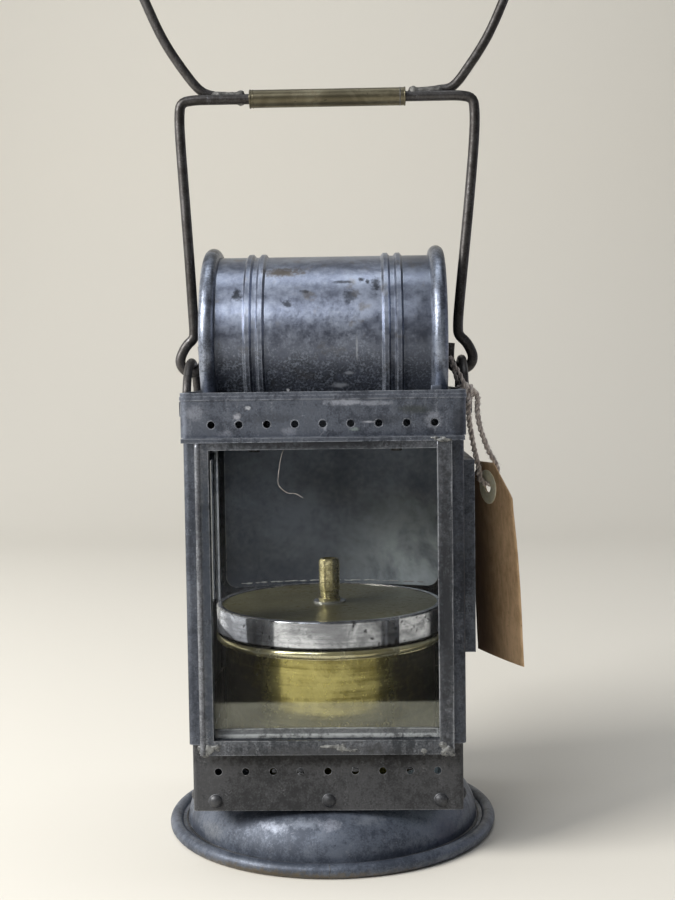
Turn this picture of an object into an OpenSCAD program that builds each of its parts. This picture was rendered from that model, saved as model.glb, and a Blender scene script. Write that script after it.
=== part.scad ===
// Carbide railway lamp: square tin case over a brass gas generator, on a pressed round foot.
// Z is up, the window looks towards -Y, X runs to the right, millimetres.

/* [Foot] */
// outer diameter of the rolled rim
foot_d = 135.6; // [110:0.2:170]
// height of the tray above the floor
foot_h = 21; // [15:0.5:32]
// thickness of the pressed foot sheet
foot_sheet = 0.8; // [0.5:0.1:1.6]
// radius of the rolled rim
rim_r = 2.7; // [2.2:0.1:4]

/* [Case] */
// outside width of the square case
case_w = 105.4; // [92:0.2:120]
// level of the case's lower edge
case_z0 = 47; // [42:0.5:60]
// level of the top plate's upper face
case_top = 179.4; // [150:0.2:220]
// thickness of the tin sheet
tin = 0.7; // [0.5:0.1:1.2]
// height of the air hole band
band_h = 14.5; // [10:0.5:20]
// gap between case and skirt
skirt_gap = 0.4; // [0.3:0.05:1]
// overlap of the skirt inside the case
skirt_lap = 6; // [3:0.5:12]

/* [Air holes] */
// holes in each row
hole_count = 9; // [5:1:11]
// pitch of the holes
hole_pitch = 10.45; // [8:0.05:11]
// diameter of a hole
hole_d = 2.8; // [2:0.1:4]

/* [Front window] */
// width of the window opening
window_w = 85.2; // [70:0.2:90]
// width of the frame beside the opening
stile_w = 5.2; // [4:0.1:7]
// level of the sill
sill_z = 49.8; // [46:0.2:66]
// how far the frame stands in front of the case
frame_depth = 5; // [3:0.2:8]
// thickness of the panes
glass = 1.4; // [1:0.1:2.5]

/* [Side windows] */
// width of a side opening
side_w = 68; // [50:1:80]
// lower level of a side opening
side_z0 = 88; // [78:1:100]
// upper level of a side opening
side_z1 = 150; // [130:1:156]
// how far the slide rails stand off the right wall
rail_depth = 4.5; // [3.6:0.1:7]

/* [Drum] */
// outside radius of the drum
drum_r = 34.6; // [26:0.2:38]
// height of the drum axis above the top plate
drum_rise = 21.1; // [16:0.1:26]
// distance between the two end wires, centre to centre
bead_span = 90.4; // [76:0.2:94]
// radius of the end wires
bead_r = 3.1; // [2.4:0.1:3.6]
// half distance between the rib pairs
rib_mid = 27.1; // [20:0.1:32]
// distance between the ribs of a pair
rib_pair = 5; // [4.4:0.1:7]

/* [Generator] */
// outside radius of the lid
lid_r = 47; // [38:0.2:48.5]
// level of the lid's top
lid_top = 92.6; // [80:0.2:110]
// height of the silver lid band
lid_h = 10.6; // [8:0.2:14]
// outside radius of the pot
pot_r = 43.6; // [34:0.2:45]
// radius of the nipple
nipple_r = 4.3; // [3:0.1:6]
// level of the nipple's tip
nipple_top = 110.4; // [100:0.2:130]
// running clearance between lid and neck
lid_fit = 0.08; // [0.03:0.01:0.1]

// height of the carbide basket
basket_h = 34; // [20:1:40]
// height of the basket above the pot's underside
basket_lift = 8; // [5:0.5:12]

/* [Inside] */
// radius of the reflector's curve
reflector_r = 110; // [90:1:160]
// radius of the baffle in the drum
baffle_r = 27.5; // [20:0.5:30]
// thickness of the inner sheets
inner_tin = 0.5; // [0.4:0.1:0.8]

/* [Bail] */
// radius of the bail wire
wire_r = 2.1; // [1.6:0.1:2.6]
// radius of the ear wire
ear_r = 1.75; // [1.4:0.05:2.2]
// radius of the ear's arch
ear_arch = 17.5; // [14:0.5:22]
// height of the ear's wire centre above the top plate
ear_rise = 13.2; // [11:0.2:18]
// centreline radius of the bail's eyes
eye_r = 5.0; // [4.7:0.1:6.4]
// level of the crossbar's centre
bar_z = 299.6; // [270:0.2:340]
// half width of the bail under its upper bends
bail_half = 60.2; // [57:0.2:68]
// level of the bow's top
bow_top = 410; // [380:1:440]
// half width of the bow
bow_half = 83; // [70:1:95]
// length of the grip sleeve
grip_l = 63.6; // [50:0.2:72]
// radius of the grip sleeve
grip_r = 3.6; // [3.2:0.1:5]

/* [Tag] */
// width of the card
tag_w = 37.6; // [30:0.2:45]
// height of the card
tag_h = 80; // [60:1:100]
// cut of the card's upper corners
tag_cut = 13; // [8:0.5:15]
// thickness of the card
tag_t = 0.6; // [0.4:0.1:1]
// diameter of the twine
twine_d = 2; // [1.6:0.1:2.4]

/* [Hidden] */
$fn = 96;
case_h = case_w / 2;
case_in = case_h - tin;
skirt_h = case_in - skirt_gap;
skirt_in = skirt_h - tin;
plate_z = case_top - 1;
band_out = case_h + 0.9;
seam_out = band_out + 0.3;
band_z1 = case_top - 1.5;
band_z0 = band_z1 - band_h;
hole_hi_z = band_z0 + 5.3;
hole_lo_z = foot_h + 15.2;
skirt_top = case_z0 + skirt_lap;
tray_z = foot_h + tin;
tray_flange_z = foot_h + 8;
rivet_z = foot_h + 3.8;
rivet_r = 3.1;
rivet_shank_r = 1.27;
rivet_places = [9.7 - case_h, 0.3, case_h - 9.7];
frame_w = window_w + 2 * stile_w;
frame_y = -case_h - frame_depth;
frame_z0 = case_z0 - 2.7;
frame_z1 = band_z0 - 0.4;
win_half = window_w / 2;
win_z1 = band_z0 - 4;
slot_y = -case_h - 2;
sill_back = -skirt_h - 0.3;
drum_z = case_top + drum_rise;
bead_x = bead_span / 2;
bead_ring = drum_r + 0.8;
cap_x = bead_x + 1.4;
cap_r = bead_ring - sqrt(bead_r * bead_r - 1) - 0.03;
ear_x = seam_out + ear_r + 0.1;
ear_axis_z = case_top + ear_rise - ear_arch;
ear_foot_z = band_z1 - 7;
eye_x = ear_x - 0.2;
eye_z = ear_axis_z + ear_arch + 0.6;
bail_bias = 1.6;
rail_out = case_h + rail_depth;
rail_z0 = side_z0 - 8;
rail_z1 = side_z1 + 4;
rail_half = case_h - 8.7;
shutter_x = rail_out - 2.6;
pot_z0 = tray_z + 0.1;
pot_wall = 1;
collar_z = lid_top - lid_h - 5;
neck_r = lid_r - 0.9 - lid_fit;
neck_wall = 1.2;
neck_z = lid_top - 5;
plate_t = 1.6;
shield_z = case_top - 21.4;
shield_half = case_h - 19.7;
shield_post = shield_half - 5;
post_r = 1.2;
reflector_back = case_in - 2;
reflector_half = case_in - 4.6;
reflector_z0 = lid_top - 1;
reflector_z1 = case_top - 19.4;
lid_in_z = lid_top - 0.5 - plate_t;
bell_r = pot_r - 5;
basket_r = bell_r - 5;
basket_z0 = pot_z0 + basket_lift;
bow_z = bar_z + 3.2;
bow_y = 2.9;
bow_mid_z = bow_top - 44;
solder_x = bail_half - 20.2;
solder_r = wire_r + 2.6;
knot_z0 = band_z1 - 0.8;
tag_from = [rail_out, 0, case_top];
tag_hole = tag_from + [7.8, -16.2, -38.4];
tag_hole_r = twine_d / 2 + 1.4;
tag_turn = 23.2;
tag_lean = 3.8;
// route of the twine from the knot through the card's hole and back, set from tag_from
twine_route = [[0, -23.5, knot_z0 - case_top - 0.02], [0, -23.5, -5.4], [0.2, -23.5, -9.4],
    [1.2, -22.4, -16.4], [2.8, -19.6, -25.4], [3.9, -18, -31], [4.1, -17.8, -33.3],
    [4.6, -17.6, -35.3], [6, -17, -36.8], [7.8, -16.2, -37.3], [9.6, -15.4, -36.8],
    [11, -14.8, -35.3], [11.5, -14.6, -33.3], [11, -14.9, -29.4], [8.8, -15.9, -22.4],
    [5.8, -17.4, -14.4], [3.8, -18.6, -7.9], [3.5, -19, -4.9],
    [3.5, -19, knot_z0 - case_top - 0.02]];

tin_grey = [0.33, 0.35, 0.38];
dark_tin = [0.24, 0.25, 0.28];
wire_grey = [0.22, 0.2, 0.18];
brass = [0.72, 0.6, 0.28];
silver = [0.75, 0.76, 0.78];
twine = [0.52, 0.48, 0.43];

// square prism with rounded upright edges
module round_block(half, z0, z1, r) {
    translate([0, 0, z0])
        linear_extrude(z1 - z0)
            union() {
                square([2 * half, 2 * (half - r)], center = true);
                square([2 * (half - r), 2 * half], center = true);
                for (sx = [-1, 1])
                    for (sy = [-1, 1])
                        translate([sx * (half - r), sy * (half - r)])
                            circle(r, $fn = 48);
            }
}

// square tube with rounded upright edges
module round_tube(half, wall, z0, z1, r) {
    difference() {
        round_block(half, z0, z1, r);
        round_block(half - wall, z0 - 1, z1 + 1, max(r - wall, 0.3));
    }
}

// box from its lower to its upper corner
module box(a, b) {
    translate(a)
        cube([b[0] - a[0], b[1] - a[1], b[2] - a[2]]);
}

// round rod between two points
module rod(p, q, r) {
    d = [q[0] - p[0], q[1] - p[1], q[2] - p[2]];
    len = sqrt(d[0] * d[0] + d[1] * d[1] + d[2] * d[2]);
    polar = acos(d[2] / len);
    turn = atan2(d[1], d[0]);
    translate(p)
        rotate([0, polar, turn])
            cylinder(r = r, h = len, $fn = 32);
}

// one round of corner cutting, ends kept
function soften(p) = concat([p[0]],
    [for (i = [0 : len(p) - 2])
        for (k = [0.25, 0.75])
            [for (j = [0 : 2]) p[i][j] * (1 - k) + p[i + 1][j] * k]],
    [p[len(p) - 1]]);

// direction of a path at one of its points
function heading(p, i) =
    let (a = p[max(i - 1, 0)], b = p[min(i + 1, len(p) - 1)],
        d = [for (j = [0 : 2]) b[j] - a[j]],
        n = sqrt(d[0] * d[0] + d[1] * d[1] + d[2] * d[2]))
    [for (j = [0 : 2]) d[j] / n];

// bent wire through a path that lies about upright in X and Z
module bent_wire(p, r, sides) {
    m = len(p);
    rings = [for (i = [0 : m - 1])
        let (t = heading(p, i), c = sqrt(t[0] * t[0] + t[2] * t[2]), u = [-t[2] / c, 0, t[0] / c],
            v = [t[1] * u[2], t[2] * u[0] - t[0] * u[2], -t[1] * u[0]])
        for (k = [0 : sides - 1])
            [for (j = [0 : 2])
                p[i][j] + r * (cos(360 * k / sides) * u[j] + sin(360 * k / sides) * v[j])]];
    walls = [for (i = [0 : m - 2])
        for (k = [0 : sides - 1])
            [i * sides + k, i * sides + (k + 1) % sides,
                (i + 1) * sides + (k + 1) % sides, (i + 1) * sides + k]];
    start = [for (k = [0 : sides - 1]) sides - 1 - k];
    end = [for (k = [0 : sides - 1]) (m - 1) * sides + k];
    polyhedron(points = rings, faces = concat(walls, [start, end]), convexity = 10);
}

// tube along Z
module tube(ro, ri, z0, z1) {
    translate([0, 0, z0])
        difference() {
            cylinder(r = ro, h = z1 - z0);
            translate([0, 0, -1])
                cylinder(r = ri, h = z1 - z0 + 2);
        }
}

// disc along Z
module disc(r, z0, z1) {
    translate([0, 0, z0])
        cylinder(r = r, h = z1 - z0);
}

// row of holes through all four walls at one level
module hole_rows(z) {
    for (i = [0 : hole_count - 1]) {
        s = (i - (hole_count - 1) / 2) * hole_pitch;
        translate([s, 0, z])
            rotate([90, 0, 0])
                cylinder(r = hole_d / 2, h = 2 * case_w, center = true, $fn = 24);
        translate([0, s, z])
            rotate([0, 90, 0])
                cylinder(r = hole_d / 2, h = 2 * case_w, center = true, $fn = 24);
    }
}

// everything under a level, to be cut away
module below(z) {
    translate([-150, -150, z - 100])
        cube([300, 300, 100]);
}

module base_dish() {
    dome_r = foot_h - 3.4;
    dome_c = foot_d / 2 - 7.6 - dome_r;
    color(dark_tin)
        difference() {
            union() {
                rotate_extrude()
                    union() {
                        translate([foot_d / 2 - rim_r, rim_r - 0.12])
                            circle(rim_r, $fn = 48);
                        translate([dome_c + dome_r - foot_sheet, 2.6])
                            square([foot_d / 2 - rim_r - dome_c - dome_r, foot_sheet]);
                        translate([0, foot_h - foot_sheet])
                            square([dome_c, foot_sheet]);
                        intersection() {
                            translate([dome_c, foot_h - dome_r])
                                difference() {
                                    circle(dome_r);
                                    circle(dome_r - foot_sheet);
                                }
                            translate([dome_c, 2.6])
                                square([dome_r + 1, foot_h]);
                        }
                    }
            }
            rotate_extrude()
                translate([foot_d / 2 - rim_r, rim_r - 0.12])
                    circle(rim_r - foot_sheet, $fn = 48);
            below(0);
        }
}

module rim_wire() {
    color(wire_grey)
        rotate_extrude()
            translate([foot_d / 2 - rim_r, rim_r - 0.12])
                circle(rim_r - foot_sheet - 0.02, $fn = 32);
}

// places of the rivets on the four walls of the skirt, with Z outwards
module at_rivets() {
    for (k = [0 : 3])
        rotate([0, 0, 90 * k])
            for (s = rivet_places)
                translate([s, -skirt_h, rivet_z])
                    rotate([90, 0, 0])
                        children();
}

module skirt() {
    color(dark_tin)
        difference() {
            round_tube(skirt_h, tin, foot_h, skirt_top, 1.6);
            hole_rows(hole_lo_z);
            at_rivets()
                cylinder(r = rivet_shank_r + 0.03, h = 6, center = true, $fn = 32);
        }
}

module skirt_tray() {
    color(tin_grey)
        difference() {
            round_block(skirt_in - 0.02, foot_h + 0.02, tray_flange_z, 1);
            round_block(skirt_in - tin, tray_z, tray_flange_z + 1, 0.6);
            at_rivets()
                cylinder(r = rivet_shank_r + 0.03, h = 6, center = true, $fn = 32);
        }
}

module skirt_rivets() {
    color(wire_grey)
        at_rivets()
            union() {
                intersection() {
                    translate([0, 0, -1.4])
                        sphere(rivet_r, $fn = 48);
                    cylinder(r = rivet_r, h = rivet_r, $fn = 48);
                }
                translate([0, 0, -2 * tin - 0.7])
                    cylinder(r = rivet_shank_r, h = 2 * tin + 1, $fn = 32);
                translate([0, 0, -2 * tin - 0.9])
                    cylinder(r = 2, h = 0.8, $fn = 32);
            }
}

module seat_ring() {
    color(tin_grey)
        difference() {
            union() {
                tube(pot_r + 1.3, pot_r + 0.4, tray_z, tray_z + 8);
                tube(pot_r + 3, pot_r + 0.4, tray_z, tray_z + 0.8);
            }
        }
}

module pot() {
    color(brass)
        union() {
            difference() {
                disc(pot_r, pot_z0, collar_z + 0.5);
                disc(pot_r - pot_wall, pot_z0 + 1.2, collar_z + 2);
            }
        }
}

module pot_collar() {
    color(brass)
        difference() {
            union() {
                disc(lid_r - 0.4, collar_z + 1, collar_z + 4.2);
                rotate_extrude()
                    translate([lid_r - 1.6, collar_z + 2.6])
                        circle(2, $fn = 32);
                disc(neck_r, collar_z + 0.52, neck_z);
            }
            disc(neck_r - neck_wall, collar_z + 1.8, neck_z + 1);
            disc(pot_r - pot_wall, collar_z - 1, collar_z + 2);
        }
}

module carbide_basket() {
    color(silver)
        difference() {
            disc(basket_r, basket_z0, basket_z0 + basket_h);
            disc(basket_r - 0.8, basket_z0 + 0.8, basket_z0 + basket_h + 1);
            for (a = [0 : 30 : 330])
                for (z = [6 : 8 : basket_h - 10])
                    rotate([0, 0, a])
                        translate([basket_r, 0, basket_z0 + z])
                            rotate([0, 90, 0])
                                cylinder(r = 1.6, h = 6, center = true, $fn = 16);
        }
}

module basket_feet() {
    color(silver)
        for (a = [0, 120, 240])
            rotate([0, 0, a + 30])
                translate([basket_r - 6, 0, pot_z0 + 1.22])
                    cylinder(r = 1.5, h = basket_lift - 1.24, $fn = 32);
}

module lid_ring() {
    color(silver)
        difference() {
            union() {
                disc(lid_r, lid_top - lid_h, lid_top - 0.8);
                disc(lid_r - 0.8, lid_top - 1.6, lid_top);
                rotate_extrude()
                    translate([lid_r - 0.8, lid_top - 0.8])
                        circle(0.8, $fn = 32);
            }
            disc(lid_r - 0.9, lid_top - lid_h - 1, lid_top - 1.3);
            disc(lid_r - 2.2, lid_top - 3, lid_top + 1);
        }
}

module lid_plate() {
    color(brass)
        difference() {
            union() {
                disc(lid_r - 0.92, lid_in_z, lid_top - 1.32);
                disc(lid_r - 2.22, lid_in_z, lid_top - 0.5);
            }
            disc(nipple_r - 1, lid_in_z - 2, lid_top + 1);
        }
}

module lid_gasket() {
    color([0.12, 0.11, 0.1])
        tube(neck_r - 0.4, bell_r + 0.3, neck_z + 0.3, lid_in_z - 0.02);
}

module gas_bell() {
    color(silver)
        difference() {
            disc(bell_r, pot_z0 + 5, lid_in_z - 0.02);
            disc(bell_r - 0.8, pot_z0 + 4, lid_in_z + 1);
        }
}

module filter_felt() {
    color([0.75, 0.72, 0.62])
        disc(bell_r - 1.1, lid_in_z - 7, lid_in_z - 0.3);
}

module filter_screen() {
    color(silver)
        difference() {
            disc(bell_r - 0.8, lid_in_z - 7.9, lid_in_z - 7.1);
            for (a = [0 : 45 : 315])
                for (r = [12, 24])
                    rotate([0, 0, a + r])
                        translate([r, 0, lid_in_z - 9])
                            cylinder(r = 2, h = 3, $fn = 16);
        }
}

module nipple() {
    color(brass)
        difference() {
            union() {
                disc(nipple_r - 1.02, lid_in_z + 0.1, lid_top + 0.4);
                disc(nipple_r + 0.3, lid_top + 0.32, lid_top + 1.4);
                disc(nipple_r - 0.35, lid_top + 2, lid_top + 2.8);
                disc(nipple_r - 0.35, lid_top + 3.4, lid_top + 4.2);
                disc(nipple_r - 0.8, lid_top + 0.4, lid_top + 5);
                disc(nipple_r, lid_top + 4.8, nipple_top - 0.6);
                disc(nipple_r - 0.6, nipple_top - 1, nipple_top);
            }
            disc(1.2, lid_in_z - 1, nipple_top + 1);
            disc(2.6, nipple_top - 7, nipple_top + 1);
        }
}

module nipple_washer() {
    color(silver)
        tube(nipple_r + 2.4, nipple_r - 0.35, lid_top - 0.48, lid_top + 0.3);
}

module case_wrap() {
    color(tin_grey)
        difference() {
            round_tube(case_h, tin, case_z0, plate_z - 0.02, 2);
            box([-win_half, -case_h - 5, sill_z - 1], [win_half, -case_in + 3, win_z1]);
            box([-case_h - 5, -side_w / 2, side_z0], [-case_in + 3, side_w / 2, side_z1]);
            box([case_in - 3, -side_w / 2, side_z0], [case_h + 5, side_w / 2, side_z1]);
            hole_rows(hole_hi_z);
        }
}

module window_frame() {
    color(dark_tin)
        difference() {
            union() {
                box([-frame_w / 2, frame_y, frame_z0], [frame_w / 2, -case_h - 0.02, frame_z1]);
                box([-win_half + 0.1, -case_h - 1, sill_z - 0.9], [win_half - 0.1, sill_back, sill_z]);
            }
            box([-win_half, frame_y - 1, sill_z], [win_half, -case_h + 6, win_z1]);
            box([-win_half - 1.7, slot_y - glass / 2 - 0.1, sill_z - 1.5],
                [win_half + 1.7, slot_y + glass / 2 + 0.1, win_z1 + 1.5]);
            box([-win_half + 3, frame_y + 0.9, frame_z0 - 1], [win_half - 3, -case_h - 0.9, sill_z - 2.4]);
            translate([-frame_w / 2 - 1, frame_y - 1, frame_z0 - 1])
                cube([2, 2, 1]);
        }
}

module window_glass() {
    color([0.8, 0.85, 0.85, 0.4])
        box([-win_half - 1.6, slot_y - glass / 2, sill_z - 1.4],
            [win_half + 1.6, slot_y + glass / 2, win_z1 + 1.4]);
}

module band_lip() {
    color(dark_tin)
        union() {
            box([-case_h, frame_y - 0.3, band_z0 - 0.38], [case_h, -band_out + 0.3, band_z0 + 0.4]);
            box([-case_h, frame_y - 0.3, band_z0 - 1.2], [case_h, frame_y - 0.02, band_z0 + 0.4]);
        }
}

module top_band() {
    color(dark_tin)
        difference() {
            round_tube(band_out, 0.88, band_z0 + 0.42, band_z1, 2.8);
            hole_rows(hole_hi_z);
        }
}

module top_seam() {
    color(tin_grey)
        difference() {
            union() {
                round_tube(seam_out, seam_out - case_h + 0.4, band_z1 + 0.02, band_z1 + 1.5, 3.1);
                round_tube(seam_out - 0.25, seam_out - case_h + 0.15, band_z1 + 1.5, band_z1 + 2.9, 2.9);
            }
            round_block(case_h + 0.02, band_z1 - 1, plate_z + 1.02, 2);
        }
}

module top_plate() {
    color(dark_tin)
        difference() {
            round_block(case_h, plate_z, case_top, 2);
            box([-bead_x + 6, -21, plate_z - 1], [bead_x - 6, 21, case_top + 1]);
        }
}

// ring about the drum axis
module drum_ring(x, ring, r) {
    translate([x, 0, drum_z])
        rotate([0, 90, 0])
            rotate_extrude()
                translate([ring, 0])
                    circle(r, $fn = 32);
}

// swaged rib about the drum axis, drawn along Z
module rib(z) {
    translate([0, 0, z - 1.8])
        cylinder(r1 = drum_r - 0.1, r2 = drum_r + 1.2, h = 1);
    translate([0, 0, z - 0.8])
        cylinder(r = drum_r + 1.2, h = 1.6);
    translate([0, 0, z + 0.8])
        cylinder(r1 = drum_r + 1.2, r2 = drum_r - 0.1, h = 1);
}

module drum_shell() {
    half = bead_x - bead_r + 0.06;
    color(tin_grey)
        difference() {
            translate([0, 0, drum_z])
                rotate([0, 90, 0])
                    difference() {
                        union() {
                            translate([0, 0, -half])
                                cylinder(r = drum_r, h = 2 * half);
                            rib(-rib_mid - rib_pair / 2);
                            rib(-rib_mid + rib_pair / 2);
                            rib(rib_mid - rib_pair / 2);
                            rib(rib_mid + rib_pair / 2);
                        }
                        translate([0, 0, -half - 1])
                            cylinder(r = drum_r - tin, h = 2 * half + 2);
                    }
            below(case_top + 0.02);
        }
}

module drum_bead(s) {
    color(tin_grey)
        difference() {
            drum_ring(s * bead_x, bead_ring, bead_r);
            below(case_top + 0.02);
        }
}

module drum_bead_left() {
    drum_bead(-1);
}

module drum_bead_right() {
    drum_bead(1);
}

module drum_cap(s) {
    color(dark_tin)
        difference() {
            translate([s * cap_x - 0.4, 0, drum_z])
                rotate([0, 90, 0])
                    cylinder(r = cap_r, h = 0.8);
            below(case_top + 0.02);
            for (a = [-60 : 40 : 60])
                translate([s * cap_x, 22 * sin(a), drum_z + 22 * cos(a)])
                    rotate([0, 90, 0])
                        cylinder(r = 4, h = 4, center = true, $fn = 32);
        }
}

module drum_cap_left() {
    drum_cap(-1);
}

module drum_cap_right() {
    drum_cap(1);
}

module drum_baffle() {
    color(dark_tin)
        difference() {
            translate([-cap_x + 0.5, 0, drum_z])
                rotate([0, 90, 0])
                    cylinder(r = baffle_r, h = 2 * cap_x - 1);
            translate([-cap_x, 0, drum_z])
                rotate([0, 90, 0])
                    cylinder(r = baffle_r - inner_tin - 0.1, h = 2 * cap_x);
            below(drum_z);
        }
}

module ear(s) {
    color(wire_grey)
        translate([s * ear_x, 0, ear_axis_z])
            union() {
                rotate([90, 0, 90])
                    rotate_extrude(angle = 180)
                        translate([ear_arch, 0])
                            circle(ear_r, $fn = 32);
                for (y = [-1, 1])
                    translate([0, y * ear_arch, ear_foot_z - ear_axis_z])
                        cylinder(r = ear_r, h = ear_axis_z - ear_foot_z, $fn = 32);
            }
}

module ear_left() {
    ear(-1);
}

module ear_right() {
    ear(1);
}

module saddle(s) {
    mid = ear_foot_z + 3;
    color(dark_tin)
        difference() {
            translate([s * (band_out + ear_x + ear_r + 0.7) / 2, 0, mid])
                cube([ear_x + ear_r + 0.7 - band_out - 0.02, 2 * ear_arch + 9, 6], center = true);
            translate([s * (band_out + ear_x + ear_r - 1) / 2, 0, mid])
                cube([ear_x + ear_r + 0.04 - band_out + 1, 2 * ear_arch + 2 * ear_r + 0.1, 8], center = true);
        }
}

module saddle_left() {
    saddle(-1);
}

module saddle_right() {
    saddle(1);
}

// places of the four shield posts
module at_posts(z) {
    for (sx = [-1, 1])
        for (sy = [-1, 1])
            translate([sx * shield_post, sy * shield_post, z])
                children();
}

module heat_shield() {
    color(tin_grey)
        difference() {
            box([-shield_half, -shield_half, shield_z], [shield_half, shield_half, shield_z + 0.8]);
            at_posts(shield_z - 1)
                cylinder(r = post_r + 0.02, h = 3, $fn = 24);
        }
}

module shield_posts() {
    color(wire_grey)
        at_posts(shield_z - 1.2)
            union() {
                cylinder(r = post_r, h = plate_z - shield_z + 1.18, $fn = 24);
                cylinder(r = post_r + 1, h = 1.18, $fn = 24);
            }
}

module reflector() {
    corner = 5;
    fold = 7;
    color(silver)
        intersection() {
            translate([0, reflector_back - reflector_r, 0])
                difference() {
                    disc(reflector_r, reflector_z0, reflector_z1);
                    disc(reflector_r - inner_tin, reflector_z0 - 1, reflector_z1 + 1);
                }
            union() {
                box([-reflector_half, 0, reflector_z0 + corner], [reflector_half, case_h, reflector_z1 + 1]);
                box([corner - reflector_half, 0, reflector_z0 - 1],
                    [reflector_half - corner, case_h, reflector_z1]);
                for (s = [-1, 1])
                    translate([s * (reflector_half - corner), 0, reflector_z0 + corner])
                        rotate([-90, 0, 0])
                            cylinder(r = corner, h = case_h, $fn = 48);
            }
        }
    // folds that hold the sheet off the back wall
    color(silver)
        for (z = [reflector_z0 + 3, reflector_z1 - 3])
            box([-fold, reflector_back - 0.4, z - 1.3], [fold, case_in - 0.02, z + 1.3]);
}

module side_glass(s) {
    color([0.8, 0.85, 0.85, 0.4])
        box([s * (case_in - 0.75) - 0.65, -side_w / 2 - 3, side_z0 - 3],
            [s * (case_in - 0.75) + 0.65, side_w / 2 + 3, side_z1 + 3]);
}

module left_glass() {
    side_glass(-1);
}

module right_glass() {
    side_glass(1);
}

module glass_channels() {
    color(dark_tin)
        for (s = [-1, 1])
            for (y = [-1, 1])
                difference() {
                    translate([s * (case_in - 1.1), y * (side_w / 2 + 3), (side_z0 + side_z1) / 2])
                        cube([2.16, 4.4, side_z1 - side_z0 + 8], center = true);
                    translate([s * (case_in - 0.7), y * (side_w / 2 + 0.4), (side_z0 + side_z1) / 2])
                        cube([1.5, 5.4, side_z1 - side_z0 + 6.2], center = true);
                }
}

module slide_rails() {
    color(dark_tin)
        difference() {
            box([case_h + 0.02, -rail_half, rail_z0], [rail_out, rail_half, rail_z1]);
            box([case_h + 1.2, -rail_half + 1.2, rail_z0 + 1], [rail_out - 0.8, rail_half + 1, rail_z1 - 1]);
            box([case_h - 1, -rail_half + 4, rail_z0 + 4.5], [rail_out + 1, rail_half + 1, rail_z1 - 4.5]);
        }
}

module shutter_plate() {
    color(tin_grey)
        box([shutter_x, -rail_half + 1.5, rail_z0 + 1.3], [shutter_x + 1, rail_half - 1, rail_z1 - 1.3]);
}

module shutter_tab() {
    color(wire_grey)
        union() {
            translate([shutter_x + 1.02, rail_half - 8, (rail_z0 + rail_z1) / 2])
                rotate([0, 90, 0])
                    cylinder(r = 3.4, h = 0.8, $fn = 32);
            translate([shutter_x + 1.02, rail_half - 8, (rail_z0 + rail_z1) / 2])
                rotate([0, 90, 0])
                    cylinder(r = 2, h = 3.4, $fn = 32);
        }
}

// eye of the bail, from the wire's end round to the top of the eye
function eye(s) = concat([[s * (eye_x - eye_r + 0.5), 0, eye_z + eye_r + 1]],
    [for (a = [-80 : -30 : -290])
        [s * (eye_x + eye_r * sin(a)), 0, eye_z + eye_r * cos(a)]]);

// one side of the bail, from the eye up to the bend under the crossbar
function leg(s) = concat(eye(s), [
    [s * (eye_x + 2.4), 0, eye_z + eye_r + 1.2],
    [s * (eye_x - 0.8), 0, eye_z + eye_r + 4],
    [s * (ear_x - 1.4), 0, eye_z + eye_r + 7],
    [s * (ear_x - 1), 0, eye_z + eye_r + 14],
    [s * (ear_x + 0.6) + 0.4 * bail_bias, 0, drum_z + 33],
    [s * (bail_half - 1.6) + 0.8 * bail_bias, 0, drum_z + 61],
    [s * bail_half + bail_bias, 0, bar_z - 16],
    [s * (bail_half + 0.2) + bail_bias, 0, bar_z - 6],
    [s * (bail_half - 0.6) + bail_bias, 0, bar_z - 1],
    [s * (bail_half - 6) + bail_bias, 0, bar_z],
    [s * (bail_half - 13) + bail_bias, 0, bar_z]]);

function turned(p) = [for (i = [0 : len(p) - 1]) p[len(p) - 1 - i]];

module bail_wire() {
    path = concat(leg(-1), turned(leg(1)));
    color(wire_grey)
        bent_wire(soften(soften(path)), wire_r, 12);
}

// one side of the bow, from the grip up to the middle of its top
function bow_side(s) = [
    [s * 35 + bail_bias, bow_y, bow_z],
    [s * 46 + bail_bias, bow_y, bow_z],
    [s * 52 + bail_bias, bow_y, bow_z + 1.8],
    [s * 58.5 + bail_bias, bow_y * 0.7, bow_z + 9.8],
    [s * 66 + bail_bias, bow_y * 0.4, bow_z + 21],
    [s * 72.5 + bail_bias, bow_y * 0.1, bow_z + 35],
    [s * (bow_half - 4) + bail_bias, 0, bow_mid_z - 12],
    [s * bow_half + bail_bias, 0, bow_mid_z + 6],
    [s * (bow_half - 2) + bail_bias, 0, bow_mid_z + 22],
    [s * (bow_half - 12) + bail_bias, 0, bow_top - 10],
    [s * (bow_half - 35) + bail_bias, 0, bow_top]];

module bow_wire() {
    path = concat(bow_side(-1), turned(bow_side(1)));
    color(wire_grey)
        bent_wire(soften(soften(path)), wire_r - 0.2, 12);
}

module grip_sleeve() {
    color([0.42, 0.36, 0.24])
        difference() {
            translate([bail_bias + 0.4 - grip_l / 2, 0, bar_z])
                rotate([0, 90, 0])
                    cylinder(r = grip_r, h = grip_l);
            translate([bail_bias - grip_l, 0, bar_z])
                rotate([0, 90, 0])
                    cylinder(r = wire_r + 0.04, h = 2 * grip_l);
        }
}

module bail_solder() {
    color(silver)
        for (s = [-1, 1])
            difference() {
                translate([s * solder_x + bail_bias - 4, bow_y / 2, (bar_z + bow_z) / 2])
                    rotate([0, 90, 0])
                        union() {
                            cylinder(r1 = solder_r - 1.9, r2 = solder_r, h = 2);
                            translate([0, 0, 2])
                                cylinder(r = solder_r, h = 4);
                            translate([0, 0, 6])
                                cylinder(r1 = solder_r, r2 = solder_r - 1.9, h = 2);
                        }
                rod([-60, 0, bar_z], [60, 0, bar_z], wire_r + 0.02);
                rod([-60, bow_y, bow_z], [60, bow_y, bow_z], wire_r - 0.18);
            }
}

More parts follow.
